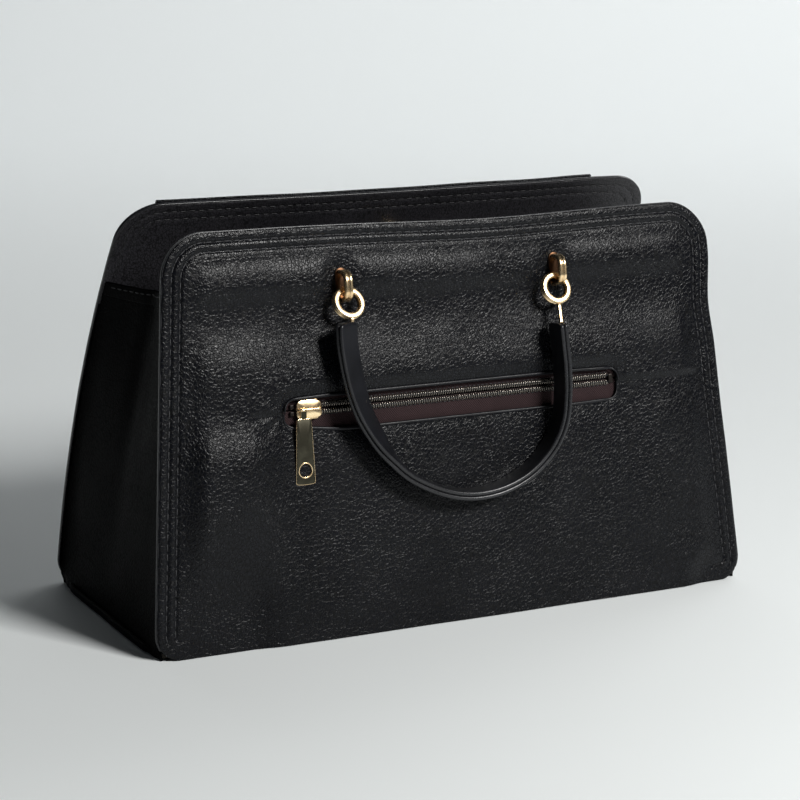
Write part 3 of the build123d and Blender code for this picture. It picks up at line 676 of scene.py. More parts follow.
def wall_layer(name, wall, face, back, material, replaced, grid=None, turned=False):
    """A layer of a wall between the depths face(u, v) and back(u, v). turned layers show their other side."""
    u, v, keep = grid
    outer, inner = wall.place(u, v, face(u, v)), wall.place(u, v, back(u, v))
    if turned:
        outer, inner = inner, outer
    if isinstance(wall, FrontWall) != turned:
        outer, inner, keep = outer[:, ::-1], inner[:, ::-1], keep[:, ::-1]
    verts, faces, rim = thick_sheet(outer, inner, keep)
    obj = make_piece(name, verts, faces, material, "bag", flat=rim)
    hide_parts(*replaced)
    return obj


def constant(depth):
    return lambda u, v: np.full(np.shape(u), float(depth))


def build_stitches(
    name, lines, body, length=3.9, radius=0.36, material=None, pitch=STITCH_PITCH
):
    """Stitches along lines of (points, outward normals), each a short thread that dips at its ends."""
    parts = []
    for points, normals in lines:
        points, normals = np.asarray(points), np.asarray(normals)
        run = np.concatenate([[0], np.cumsum(np.linalg.norm(np.diff(points, axis=0), axis=1))])
        for start in np.arange(pitch / 2, run[-1] - pitch / 2, pitch):
            at = start + np.linspace(-length / 2, length / 2, 7)
            path = np.stack([np.interp(at, run, points[:, k]) for k in range(3)], 1)
            out = np.stack([np.interp(at, run, normals[:, k]) for k in range(3)], 1)
            out /= np.linalg.norm(out, axis=1)[:, None]
            t = np.linspace(-1, 1, 7)
            path = path + out * (0.30 * (1 - t**4) - 0.22)[:, None]
            thick = radius * np.sqrt(np.maximum(1 - 0.86 * t**6, 0.1))
            tangent = np.gradient(path, axis=0)
            across = np.cross(tangent, out)
            across /= np.linalg.norm(across, axis=1)[:, None]
            angles = np.linspace(0, 2 * math.pi, 8, endpoint=False)
            rings = (
                path[:, None]
                + across[:, None] * (thick[:, None, None] * np.cos(angles)[None, :, None])
                + out[:, None] * (thick[:, None, None] * np.sin(angles)[None, :, None])
            )
            faces = grid_faces(7, 8, wrap=True) + [tuple(reversed(range(8))), tuple(range(48, 56))]
            parts.append((rings.reshape(-1, 3), faces))
    verts, faces = join_parts(parts)
    return make_piece(name, verts, faces, material or THREAD, body)


def wall_seams(wall, low, depth, sign):
    """The two stitch rows of a wall, on its outer (sign 1) or inner (sign -1) face."""
    lines = []
    for row in STITCH_ROWS:
        seam = wall.seam(row, low)
        u, v = seam[:, 0], seam[:, 1]
        w = wall.relief(u, v) if sign > 0 else np.full(len(u), depth)
        points = wall.place(u, v, w)
        normals = (wall.place(u, v, w + 1) - points) * sign
        lines.append((points, normals))
    return lines


def build_wall(prefix, wall):
    """Outer leather and inner facing of a wall, with its stitches and the edge paint round its sides and top.
    """
    rear = wall is REAR
    high = wall.high
    grid = wall_grid(wall, FLOOR_GAP, high, hole=rear)
    skin = 1.35
    wall_layer(
        f"{prefix}_leather", wall, wall.relief,
        lambda u, v: np.minimum(wall.relief(u, v) - 0.5, -skin), LEATHER, [f"{prefix}_panel"], grid,
    )
    low = high - FACING_DEPTHS[prefix]
    grid = wall_grid(wall, low, high, inset=0.0, round_low=False)

    def inside(u, v):
        edge = wall.edge_distance(u, v)
        dips = sum(0.30 * bump(edge, row, 0.8) for row in STITCH_ROWS)
        return -SHELL + rolled(edge, 1.1) + dips + 0.12 * waves(u, v, 40, 31) * smooth_step(edge, 12, 30)

    wall_layer(
        f"{prefix}_facing_leather", wall, constant(-skin - 0.12), inside,
        LIT_FACING_LEATHER, [f"{prefix}_facing"], grid, turned=True,
    )
    build_stitches(f"{prefix}_outer_stitches", wall_seams(wall, 7.0, 0, 1), "bag")
    inner_low = low + 3
    inner_seams = wall_seams(wall, inner_low, -SHELL + 0.3, -1)
    build_stitches(f"{prefix}_inner_stitches", inner_seams, "bag", radius=0.27, material=INNER_THREAD)
    # the painted edge that runs round the two sides and the top
    edge = wall.edge[wall.edge[:, 1] >= 6.0]
    run = np.concatenate([[0], np.cumsum(np.linalg.norm(np.diff(edge, axis=0), axis=1))])
    even = np.linspace(0, run[-1], 640)
    u, v = np.interp(even, run, edge[:, 0]), np.interp(even, run, edge[:, 1])
    middle = -1.62 + 0.06 * waves(u, v, 18, 121)
    path = wall.place(u, v, middle)
    out = wall.place(u, v, middle + 1) - path
    tangent, aside = frames_along(path, [0, 0, 1])
    aside = np.cross(tangent, out)
    aside /= np.linalg.norm(aside, axis=1)[:, None]
    bead = rounded_box_profile(0.9, 2.1, 0.42, 5)
    verts, faces = sweep(path, aside, out, bead)
    make_piece(f"{prefix}_edge_paint", verts, faces, EDGE_PAINT, "bag", angle=60)


build_wall("rear", REAR)
build_wall("front", FRONT)

# ------------------------------------------------ front yoke
def build_yoke():
    """The strip sewn over the outside of the front wall's top."""
    left, right, depth, thick = -144.0, 124.0, 66.0, 1.3
    steps = EDGE_STEPS[:8]
    drops = np.concatenate([steps, np.arange(2.5, depth - 2.5, 2.4), depth - steps[::-1]])
    rows = FRONT_SLANT - 1.2 + 1.9 - drops
    cols = np.concatenate([left + steps, np.linspace(left + 3, right - 3, 110), right - steps[::-1]])
    u, v = np.meshgrid(cols, rows)
    low, high = rows.min(), rows.max()
    lift = np.clip((low + 24 - v) / 24, 0, 1)
    shrink = 1 - 0.09 * (1 - np.sqrt(1 - lift**2))
    u = (u - (left + right) / 2) * shrink + (left + right) / 2
    edge = np.minimum(np.minimum(u - u.min(1)[:, None], u.max(1)[:, None] - u), np.minimum(v - low, high - v))
    base = 0.25 + 0.25 * waves(u, v, 70, 41)
    face = base + thick - rolled(edge, 0.9) - 0.35 * bump(edge, 3.0, 0.7) * (v < high - 6)
    outer, inner = FRONT.place(u, v, face), FRONT.place(u, v, base - 0.6)
    verts, faces, rim = thick_sheet(outer, inner)
    obj = make_piece("front_yoke_leather", verts, faces, LEATHER, "bag", flat=rim)
    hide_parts("front_yoke")
    line_v = np.concatenate(
        [
            np.linspace(high - 14, low + 27, 30),
            low + 3 + 24 * (1 - np.sin(np.radians(np.linspace(0, 90, 12))))
        ]
    )
    half = (right - left) / 2 - 3
    pull = 24 * (1 - np.sqrt(np.clip(1 - np.clip((low + 27 - line_v) / 24, 0, 1) ** 2, 0, 1)))
    side_u = half - pull
    across = np.linspace(-side_u[-1], side_u[-1], 120)[1:-1]
    line_u = np.concatenate([-side_u, across, side_u[::-1]]) + (left + right) / 2
    line_v = np.concatenate([line_v, np.full(len(across), line_v[-1]), line_v[::-1]])
    w = 0.25 + 0.25 * waves(line_u, line_v, 70, 41) + thick - 0.3
    points = FRONT.place(line_u, line_v, w)
    normals = FRONT.place(line_u, line_v, w + 1) - points
    build_stitches("front_yoke_stitches", [(points, normals)], "bag")


build_yoke()


# ------------------------------------------------ gussets
def rear_inner(z):
    """The y of the rear wall's inner face at height z."""
    return REAR_FOOT + z * math.tan(math.radians(REAR_LEAN)) + SHELL / math.cos(math.radians(REAR_LEAN))


def front_inner(z):
    """The y of the front wall's inner face at height z."""
    return CROWN_Y + np.sqrt((CROWN_R - SHELL) ** 2 - (z - CROWN_Z) ** 2)


def hem_height(s):
    """Height of the gusset's top edge, s from 0 at the rear wall to 1 at the front; it sags between them."""
    return HEM_REAR + (HEM_FRONT - HEM_REAR) * s - 3.0 * np.sin(np.pi * s)


def gusset_points(side, s, z, depth):
    """Points of a gusset, depth mm inside its outer face. The slack sheet folds inwards along its middle."""
    s, z, depth = np.broadcast_arrays(*(np.asarray(q, float) for q in (s, z, depth)))
    y = rear_inner(z) * (1 - s) + front_inner(z) * s
    from_wall = np.minimum(s, 1 - s) * (front_inner(z) - rear_inner(z))
    slack = smooth_step(z, 8, 190)
    fold = 9.0 * slack * np.sin(np.pi * s) ** 1.3 + 2.6 * slack * bump(s, 0.52, 0.075)
    ripple = 0.6 * waves(y, z, 60, 51 + side) * smooth_step(from_wall, 3, 22) * smooth_step(z, 6, 30)
    turn_out = 1.4 * np.exp(-from_wall / 2.0)
    drawn_in = 2.2 * smooth_step(7.5 - z, 0, 7) * np.exp(-((from_wall / 5.0) ** 2))
    inward = fold + ripple - turn_out + drawn_in + depth
    x = side * (BOTTOM_WIDTH / 2 - GUSSET_INSET - END_LEAN * z - inward)
    return np.stack([x, y, z], -1)


def build_gusset(side, name):
    s = np.concatenate(
        [np.linspace(0, 0.06, 9)[:-1], np.linspace(0.06, 0.94, 56), np.linspace(0.94, 1, 9)[1:]]
    )
    t = np.concatenate([[0, 0.004, 0.01], np.linspace(0.02, 1, 84)])
    s, t = np.meshgrid(s, t)
    z = FLOOR_GAP + t * (hem_height(s) - FLOOR_GAP)
    outer = gusset_points(side, s, z, 0.0)
    inner = gusset_points(side, s, z, 1.1)
    if side > 0:
        outer, inner = outer[:, ::-1], inner[:, ::-1]
    outer, inner = outer[:, ::-1], inner[:, ::-1]
    verts, faces, rim = thick_sheet(outer, inner)
    obj = make_piece(f"{name}_gusset_leather", verts, faces, SHADED_GUSSET_LEATHER, "bag", flat=rim)
    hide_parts(f"{name}_gusset")

    lining_z = 9.0 + t * (hem_height(s) - 2.0 - 9.0)
    near = gusset_points(side, s * 0.94 + 0.03, lining_z, 1.25)
    deep = gusset_points(side, s * 0.94 + 0.03, lining_z, 1.75)
    if side > 0:
        near, deep = near[:, ::-1], deep[:, ::-1]
    near, deep = near[:, ::-1], deep[:, ::-1]
    verts, faces, rim = thick_sheet(near, deep)
    obj = make_piece(f"{name}_gusset_lining_cloth", verts, faces, LINING, "bag", flat=rim)
    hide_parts(f"{name}_gusset_lining")

    # the hem folded over the top edge, and its stitches
    along = np.linspace(0.012, 0.988, 80)
    top = hem_height(along)
    profile = rounded_box_profile(8.2, 1.5, 0.7, 4)
    path = gusset_points(side, along, top - 3.6, -0.05)
    up = gusset_points(side, along, top, -0.05) - path
    up /= np.linalg.norm(up, axis=1)[:, None]
    out = np.cross(np.gradient(path, axis=0), up)
    out *= side * np.sign(out[:, :1])
    out /= np.linalg.norm(out, axis=1)[:, None]
    verts, faces = sweep(path, up, out, profile)
    hem = make_piece(f"{name}_hem_leather", verts, faces, SHADED_GUSSET_LEATHER, "bag", angle=60)
    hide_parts(f"{name}_gusset_hem")
    seam = path + up * 1.4 + out * 0.75
    build_stitches(f"{name}_hem_stitches", [(seam, out)], "bag", pitch=4.6, length=3.4)


for side, name in ((-1, "left"), (1, "right")):
    build_gusset(side, name)


# ------------------------------------------------ base
def build_base():
    rear_edge, front_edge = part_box("base_panel")[0].y / MM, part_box("base_panel")[1].y / MM
    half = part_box("base_panel")[1].x / MM
    steps = EDGE_STEPS[:12]
    xs = np.concatenate([-half + steps, np.linspace(-half + 5, half - 5, 120), half - steps[::-1]])
    ys = np.concatenate(
        [rear_edge + steps, np.linspace(rear_edge + 5, front_edge - 5, 50), front_edge - steps[::-1]]
    )
    x, y = np.meshgrid(xs, ys)
    edge = np.minimum(half - np.abs(x), np.minimum(y - rear_edge, front_edge - y))
    groove = 0.3 * bump(edge, 4.0, 0.7)
    under = rolled(edge, 0.8) + groove
    to_end = np.minimum(y - rear_edge, front_edge - y)
    x = x * (1 - 0.020 * smooth_step(8 - to_end, 0, 8))
    outer = np.stack([x, y, under], -1)[:, ::-1]
    inner = np.stack([x, y, np.full_like(x, 1.08)], -1)[:, ::-1]
    verts, faces, rim = thick_sheet(outer, inner)
    obj = make_piece("base_leather", verts, faces, LEATHER, "bag", flat=rim)
    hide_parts("base_panel")
    corner = [
        (-half + 4, rear_edge + 4), (half - 4, rear_edge + 4), (half - 4, front_edge - 4),
        (-half + 4, front_edge - 4)
    ]
    lines = []
    for (x0, y0), (x1, y1) in zip(corner, corner[1:] + corner[:1]):
        t = np.linspace(0, 1, 60)
        points = np.stack([x0 + (x1 - x0) * t, y0 + (y1 - y0) * t, np.full(60, 0.42)], 1)
        lines.append((points, np.tile((0.0, 0.0, -1.0), (60, 1))))
    build_stitches("base_stitches", lines, "bag", radius=0.3)

    xs, ys = np.linspace(-half, half, 130), np.linspace(rear_edge, front_edge, 60)
    x, y = np.meshgrid(xs, ys)
    rise = (
        0.5 * (1 + waves(x, y, 45, 61))
        * smooth_step(np.minimum(half - np.abs(x), np.minimum(y - rear_edge, front_edge - y)), 0, 20)
    )
    top = np.stack([x, y, 3.95 + np.clip(rise, 0, 2)], -1)
    low = np.stack([x, y, 3.42 + np.clip(rise, 0, 2)], -1)
    verts, faces, rim = thick_sheet(top, low)
    obj = make_piece("base_lining_cloth", verts, faces, LINING, "bag", flat=rim)
    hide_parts("base_lining")

    for side, name in ((-1, "left"), (1, "right")):
        reach = 59.4
        y = np.linspace(-reach, reach, 90)
        fade = np.sqrt(np.clip(1 - (np.abs(y) / reach) ** 14, 0.02, 1))
        x = np.full_like(y, side * (BOTTOM_WIDTH / 2 - GUSSET_INSET + 0.9)) + 0.15 * waves(y, 0 * y, 30, 71)
        x = x - side * 2.0 * smooth_step(np.abs(y), reach - 10, reach)
        path = np.stack([x, y + 0.2, np.full_like(y, 2.45)], 1)
        up = np.tile((0.0, 0.0, 1.0), (90, 1)) * fade[:, None]
        out = np.tile((float(side), 0.0, 0.0), (90, 1)) * fade[:, None]
        verts, faces = sweep(path, up, out, rounded_box_profile(4.2, 2.6, 1.15, 6))
        rim = make_piece(
            f"{name}_rim_leather", verts, faces, SHADED_GUSSET_LEATHER, "bag", angle=60
        )
        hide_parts(f"{name}_base_rim")


build_base()


# ------------------------------------------------ linings of the walls, and the pocket's pouch
def build_linings():
    for prefix, wall, deep in (("rear", REAR, 5.45), ("front", FRONT, 2.25)):
        low, high = 9.0, wall.high - FACING_DEPTHS[prefix] + 1.2
        us = np.linspace(-1, 1, 120)
        vs = np.linspace(low, high, 76)
        s, v = np.meshgrid(us, vs)
        u = s * (wall.half(v) - 6.5)
        tuck = smooth_step(high - v, 0, 22)
        loose = (
            1.3 * np.abs(waves(u, v, 55, 81 + len(prefix))) * smooth_step(high - v, 2, 40)
            * smooth_step(v, 10, 30)
        )
        depth = 2.55 + (deep - 2.2) * tuck + loose
        inner, outer = wall.place(u, v, -depth - 0.5), wall.place(u, v, -depth)
        if prefix == "front":
            face, back = inner, outer
        else:
            face, back = inner[:, ::-1], outer[:, ::-1]
        verts, faces, rim = thick_sheet(face, back)
        obj = make_piece(f"{prefix}_lining_cloth", verts, faces, LINING, "bag", flat=rim)
        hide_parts(f"{prefix}_lining")

    # the pouch: one cloth folded at its foot, sewn at its sides and open at the top behind the zip
    turn = np.linspace(0, math.pi, 11)[1:-1]
    run = np.linspace(138, 26, 40)
    v_line = np.concatenate([run, 26 - np.sin(turn), run[::-1]])
    side_line = np.concatenate([np.full(40, -1.0), -np.cos(turn), np.full(40, 1.0)])
    foot_line = np.concatenate([np.zeros(40), np.sin(turn), np.zeros(40)])
    u, v = np.meshgrid(np.linspace(-117, 117, 80), v_line)
    side, foot = side_line[:, None], foot_line[:, None]
    gap = 0.3 + 0.45 * np.sqrt(np.clip((117 - np.abs(u)) / 14, 0, 1))
    middle = -3.35 + 0.15 * waves(u, v, 40, 91)
    outer = REAR.plane.at(u, v - 0.22 * foot, middle + side * (gap + 0.22))
    inner = REAR.plane.at(u, v + 0.22 * foot, middle + side * (gap - 0.22))
    verts, faces, rim = thick_sheet(outer, inner)
    obj = make_piece("pocket_pouch_cloth", verts, faces, LINING, "bag", flat=rim)
    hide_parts("pocket_pouch")


build_linings()


# ------------------------------------------------ zip
def closed_sweep(path, across, out, profile):
    """A tube along a path that closes on itself."""
    points, faces = sweep(path, across, out, profile, caps=False)
    rows, cols = len(path), len(profile)
    for c in range(cols):
        d = (c + 1) % cols
        faces.append(((rows - 1) * cols + c, (rows - 1) * cols + d, d, c))
    return points, faces


def build_zip():
    for sign, name in ((1, "upper"), (-1, "lower")):
        us = np.linspace(-112, 112, 200)
        vs = CHAIN_V + sign * np.linspace(0.4, 14.5, 22)
        u, v = np.meshgrid(us, vs)
        face = -1.12 + 0.10 * waves(u, v, 26, 101 + sign) - 0.25 * smooth_step(np.abs(v - CHAIN_V), 3, 8)
        outer, inner = REAR.plane.at(u, v, face), REAR.plane.at(u, v, face - 0.45)
        if sign < 0:
            outer, inner = outer[::-1], inner[::-1]
        verts, faces, rim = thick_sheet(outer, inner)
        obj = make_piece(f"zip_tape_{name}", verts, faces, TAPE, "bag", flat=rim)
        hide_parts(f"pocket_tape_{name}")

        # the coil: a flattened helix whose turns reach past the middle, between the other coil's
        pitch, wire = 1.38, 0.28
        start, end = SLIDER_LEFT + SLIDER_LENGTH / 2, WINDOW_HALF - 5.0
        turns = int((end - start) / pitch)
        angle = np.linspace(0, 2 * math.pi * turns, turns * 14)
        along = start + angle / (2 * math.pi) * pitch + (0 if sign > 0 else pitch / 2)
        lean = 0.5 * np.cos(angle)
        v = CHAIN_V + sign * (1.80 + 1.22 * np.cos(angle))
        w = -0.12 + 0.60 * np.sin(angle)
        path = REAR.plane.at(along + lean, v, w)
        tangent = np.gradient(path, axis=0)
        tangent /= np.linalg.norm(tangent, axis=1)[:, None]
        axis = REAR.plane.at(1.0, 0, 0) - REAR.plane.at(0.0, 0, 0)
        across = np.cross(tangent, axis)
        across /= np.linalg.norm(across, axis=1)[:, None]
        out = np.cross(tangent, across)
        ring = [(wire * math.cos(a), 0.9 * wire * math.sin(a)) for a in np.linspace(0, 2 * math.pi, 7)[:-1]]
        verts, faces = sweep(path, across, out, ring)
        coil = make_piece(f"zip_coil_{name}", verts, faces, COIL, "bag")
        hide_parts(f"pocket_coil_{name}")

        # the cord inside each coil, in the near-black thread colour: a real cord, and partly painted shade
        # darkening the gaps between the coil's turns
        core = np.linspace(start, end, 60)
        path = REAR.plane.at(core, CHAIN_V + sign * 1.85, -0.12)
        ups = np.tile(REAR.plane.y, (60, 1))
        outs = np.tile(REAR.plane.z, (60, 1))
        ring = [(0.62 * math.cos(a), 0.3 * math.sin(a)) for a in np.linspace(0, 2 * math.pi, 11)[:-1]]
        verts, faces = sweep(path, ups, outs, ring)
        make_piece(f"zip_core_{name}", verts, faces, INNER_THREAD, "bag")
        seam = REAR.plane.at(np.linspace(start, end, 120), CHAIN_V + sign * 3.5, -0.95)
        build_stitches(
            f"zip_coil_stitches_{name}", [(seam, np.tile(REAR.plane.z, (120, 1)))], "bag",
            length=2.0, radius=0.22, pitch=2.6,
        )

    # the window's piped edge
    corner, centre = WINDOW_CORNER + 0.3, (WINDOW_LOW + WINDOW_HIGH) / 2
    half_u, half_v = WINDOW_HALF + 0.3, (WINDOW_HIGH - WINDOW_LOW) / 2 + 0.3
    line = []
    for cu, cv, first in ((1, 1, 0), (-1, 1, 90), (-1, -1, 180), (1, -1, 270)):
        for i in range(13):
            a = math.radians(first + 90 * i / 12)
            line.append(
                (
                    cu * (half_u - corner) + corner * math.cos(a),
                    centre + cv * (half_v - corner) + corner * math.sin(a)
                )
            )
    line = np.array(line + line[:1])
    run = np.concatenate([[0], np.cumsum(np.linalg.norm(np.diff(line, axis=0), axis=1))])
    even = np.linspace(0, run[-1], 361)[:-1]
    u, v = np.interp(even, run, line[:, 0]), np.interp(even, run, line[:, 1])
    pinch = 1.6 * smooth_step(np.abs(u), 70, 101) * np.sign(v - CHAIN_V + 2)
    lift = REAR.relief(u + 1.6 * np.sign(u) * (np.abs(u) > WINDOW_HALF - 4), v + 1.6 * np.sign(v - centre))
    path = REAR.place(u, v - 0.35 * pinch, lift + 0.08 + 0.06 * waves(u, v, 14, 111))
    tangent = np.roll(path, -1, 0) - np.roll(path, 1, 0)
    tangent /= np.linalg.norm(tangent, axis=1)[:, None]
    out = np.tile(REAR.plane.z, (len(path), 1))
    across = np.cross(out, tangent)
    ring = [(0.95 * math.cos(a), 0.75 * math.sin(a)) for a in np.linspace(0, 2 * math.pi, 13)[:-1]]
    full = (1 - 0.45 * smooth_step(np.abs(u), 92, 101))[:, None]
    verts, faces = closed_sweep(path, across * full, out * full, ring)
    welt = make_piece("pocket_welt_leather", verts, faces, LEATHER_SMOOTH, "bag")
    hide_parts("pocket_welt")


build_zip()


# ------------------------------------------------ metal shapes
def rounded_block(plane, centre, size, radius, cuts=7):
    """A block with rounded edges, in a plane's axes."""
    half = np.array(size, float) / 2
    radius = min(radius, *(half * 0.999))
    verts, faces = [], []
    steps = np.linspace(-1, 1, cuts)
    for axis in range(3):
        for sign in (-1, 1):
            base = len(verts)
            for a in steps:
                for b in steps:
                    p = np.empty(3)
                    p[axis], p[(axis + 1) % 3], p[(axis + 2) % 3] = sign, a, b
                    stretch = np.sign(p) * np.abs(p) ** 0.5
                    full = stretch * half
                    core = np.clip(full, -(half - radius), half - radius)
                    away = full - core
                    length = np.linalg.norm(away)
                    verts.append(core + away / length * radius if length > 1e-9 else full)
            for i in range(cuts - 1):
                for j in range(cuts - 1):
                    quad = [
                        base + i * cuts + j, base + (i + 1) * cuts + j, base + (i + 1) * cuts + j + 1,
                        base + i * cuts + j + 1
                    ]
                    faces.append(quad if sign > 0 else quad[::-1])
    points = np.array(verts) + np.array(centre, float)
    return plane.at(points[:, 0], points[:, 1], points[:, 2]), faces


def revolve(plane, centre, profile, count=72):
    """A closed profile of (radius, height) turned about the plane's normal at centre."""
    profile = np.asarray(profile, float)
    angles = np.linspace(0, 2 * math.pi, count, endpoint=False)
    x = centre[0] + profile[None, :, 0] * np.cos(angles)[:, None]
    y = centre[1] + profile[None, :, 0] * np.sin(angles)[:, None]
    z = centre[2] + np.broadcast_to(profile[None, :, 1], x.shape)
    rows, cols = count, len(profile)
    faces = grid_faces(rows, cols, wrap=True)
    for c in range(cols):
        d = (c + 1) % cols
        faces.append(((rows - 1) * cols + c, (rows - 1) * cols + d, d, c))
    return plane.at(x, y, z).reshape(-1, 3), faces


def slab(plane, outline, hole, thickness, bevel, low):
    """A bevelled plate from an outline and, inside it, a hole with as many points, or None for none."""
    outline = np.asarray(outline, float)
    count = len(outline)

    def inset(line, amount):
        tangent = np.roll(line, -1, 0) - np.roll(line, 1, 0)
        tangent /= np.maximum(np.linalg.norm(tangent, axis=1), 1e-9)[:, None]
        return line + amount * np.stack([-tangent[:, 1], tangent[:, 0]], 1)

    foot = [(bevel, 0.0), (bevel * 0.3, bevel * 0.3), (0.0, bevel)]
    levels = foot + [(i, thickness - h) for i, h in reversed(foot)]
    rings = [np.column_stack([inset(outline, i), np.full(count, low + h)]) for i, h in levels]
    if hole is None:
        middle = outline.mean(0)
        hole_rings = [
            np.column_stack([middle + (inset(outline, bevel) - middle) * 0.02, np.full(count, low + h)])
            for h in (thickness, 0.0)
        ]
    else:
        hole = np.asarray(hole, float)
        hole_rings = [
            np.column_stack([inset(hole, -i), np.full(count, low + h)]) for i, h in reversed(levels)
        ]
    rings += hole_rings
    points = np.vstack(rings)
    faces = grid_faces(len(rings), count, wrap=True)
    last = (len(rings) - 1) * count
    faces += [(last + c, last + (c + 1) % count, (c + 1) % count, c) for c in range(count)]
    return plane.at(points[:, 0], points[:, 1], points[:, 2]), faces


def stadium(length, width, count=64):
    """An upright oblong with round ends."""
    angles = np.linspace(0, 2 * math.pi, count, endpoint=False)
    r = width / 2
    return np.stack([r * np.cos(angles), r * np.sin(angles) + np.sign(np.sin(angles)) * (length / 2 - r)], 1)


# ------------------------------------------------ slider and puller
def build_slider():
    plane = REAR.plane
    middle = SLIDER_LEFT + SLIDER_LENGTH / 2
    parts = []
    angles = np.linspace(0, 2 * math.pi, 72, endpoint=False)
    shape = []
    for a in angles:
        c, s = math.cos(a), math.sin(a)
        wide = SLIDER_HALF * (0.86 + 0.14 * (1 - c) / 2)
        shape.append(
            (
                middle + SLIDER_LENGTH / 2 * np.sign(c) * abs(c) ** 0.45,
                CHAIN_V + wide * np.sign(s) * abs(s) ** 0.42
            )
        )
    parts.append(slab(plane, shape, None, 0.95, 0.3, 0.95))
    for sign in (-1, 1):
        parts.append(
            rounded_block(
                plane, (middle, CHAIN_V + sign * (SLIDER_HALF - 0.45), 0.35),
                (SLIDER_LENGTH - 4.4, 0.95, 2.5), 0.4
            )
        )
    parts.append(
        rounded_block(plane, (middle, CHAIN_V, -2.45), (SLIDER_LENGTH - 1, 2 * SLIDER_HALF - 1, 1.1), 0.5)
    )
    parts.append(rounded_block(plane, (SLIDER_LEFT + 2.8, CHAIN_V, -0.5), (3.4, 0.40, 3.4), 0.15))
    # the bail: an arch along the slider that the puller hangs from
    shoulder = [(0.9, 1.6), (1.0, 2.5), (1.9, 3.05)]
    near_end = [(SLIDER_LEFT + u, w) for u, w in shoulder]
    far_end = [(SLIDER_LEFT + SLIDER_LENGTH - u, w) for u, w in reversed(shoulder)]
    bail = catmull(near_end + [(middle, 3.1)] + far_end, 60)
    path = plane.at(bail[:, 0], CHAIN_V, bail[:, 1] - 0.12)
    _, side = frames_along(path, plane.y)
    wide = np.tile(plane.y, (60, 1)) * (1 + 0.9 * np.clip(1 - (bail[:, 1] - 1.6) / 1.1, 0, 1))[:, None]
    parts.append(sweep(path, wide, side, rounded_box_profile(1.15, 0.95, 0.4, 5)))
    verts, faces = join_parts(parts)
    obj = make_piece("zip_slider_body", verts, faces, GOLD, "zip_slider", angle=50)
    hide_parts("pocket_slider")


def build_puller():
    pivot = REAR.plane.at(0, CHAIN_V, BAIL_W)
    plane = Plane(pivot, REAR_LEAN - 3.0, -1)
    top, foot, length, thick = 8.8, 11.4, 39.2, 1.3
    hole_y, hole_r = -31.5, 3.45
    corners = [
        (-top / 2, -4.4, 1.7), (-foot / 2, -length + 0.5, 1.3), (foot / 2, -length + 0.5, 1.3),
        (top / 2, -4.4, 1.7)
    ]
    outline = []
    for i, (x, y, r) in enumerate(corners):
        before, after = np.array(corners[i - 1][:2]), np.array(corners[(i + 1) % 4][:2])
        here = np.array((x, y))
        a, b = before - here, after - here
        a, b = a / np.linalg.norm(a), b / np.linalg.norm(b)
        for t in np.linspace(0, 1, 13):
            p = here + a * r * (1 - t) ** 2 + b * r * t**2
            outline.append(p)
    dense = []
    for p, q in zip(outline, np.roll(outline, -1, 0)):
        for t in np.linspace(0, 1, 8, endpoint=False):
            dense.append(p + (q - p) * t)
    dense = np.array(dense)
    bow = -0.5 * (1 - (dense[:, 0] / (foot / 2)) ** 2) * (dense[:, 1] < -length + 2)
    dense[:, 1] += bow
    polar = np.arctan2(dense[:, 1] - hole_y, dense[:, 0])
    order = np.argsort(polar)
    dense, polar = dense[order], polar[order]
    angles = np.linspace(-math.pi, math.pi, 160, endpoint=False)
    outer = np.stack([np.interp(angles, polar, dense[:, k], period=2 * math.pi) for k in (0, 1)], 1)
    hole = np.stack([hole_r * np.cos(angles), hole_y + hole_r * np.sin(angles)], 1)
    shift = np.array((PULLER_U, 0.0))
    parts = [slab(plane, outer + shift, hole + shift, thick, 0.28, -thick / 2)]
    parts.append(rounded_block(plane, (PULLER_U, -2.6, 0.0), (3.6, 5.2, 1.25), 0.5))
    barrel = [(0.98 * math.cos(a), 0.98 * math.sin(a)) for a in np.linspace(0, 2 * math.pi, 25)[:-1]]
    axis = np.linspace(-1.6, 1.6, 8)
    shrink = np.sqrt(np.clip(1 - (np.abs(axis) / 1.75) ** 8, 0.3, 1))
    path = plane.at(PULLER_U + axis, 0.0, 0.0)
    parts.append(
        sweep(
            path, np.tile(plane.y, (8, 1)) * shrink[:, None], np.tile(plane.z, (8, 1)) * shrink[:, None],
            barrel
        )
    )
    verts, faces = join_parts(parts)
    obj = make_piece("zip_puller_tab", verts, faces, SATIN_GOLD, "zip_puller", angle=40)
    obj.data.materials.append(GOLD)
    face = Vector(plane.z)
    for polygon in obj.data.polygons:
        if abs(polygon.normal.dot(face)) < 0.97:
            polygon.material_index = 1
    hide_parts("pocket_puller")
    # a brighter gold rim pressed round the hole
    ring = []
    for a in np.linspace(0, 2 * math.pi, 13)[:-1]:
        ring.append((hole_r + 0.42 + 0.34 * math.cos(a), thick / 2 + 0.16 * math.sin(a)))
    verts, faces = revolve(plane, (PULLER_U, hole_y, 0.0), ring)
    make_piece("zip_puller_eyelet", verts, faces, GOLD, "zip_puller")


def build_stops():
    parts = []
    for sign in (-1, 1):
        parts.append(
            rounded_block(REAR.plane, (SLIDER_LEFT - 2.0, CHAIN_V + sign * 1.8, -0.3), (2.4, 2.5, 1.7), 0.5)
        )
    parts.append(rounded_block(REAR.plane, (WINDOW_HALF - 3.5, CHAIN_V, -0.3), (3.0, 5.2, 1.7), 0.6))
    verts, faces = join_parts(parts)
    obj = make_piece("zip_stop_clips", verts, faces, STOP_METAL, "bag", angle=50)
    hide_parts("pocket_stops")


build_slider()
build_puller()
build_stops()


# ------------------------------------------------ handles and their hardware
def front_tangent_plane(drop, out):
    """The plane that touches the front wall, drop mm down its face from its top edge, moved out by out mm."""
    angle = TOP_ANGLE - drop / CROWN_R
    radius = CROWN_R + out
    origin = (0, CROWN_Y + radius * math.cos(angle), CROWN_Z + radius * math.sin(angle))
    return Plane(origin, math.degrees(angle), 1)


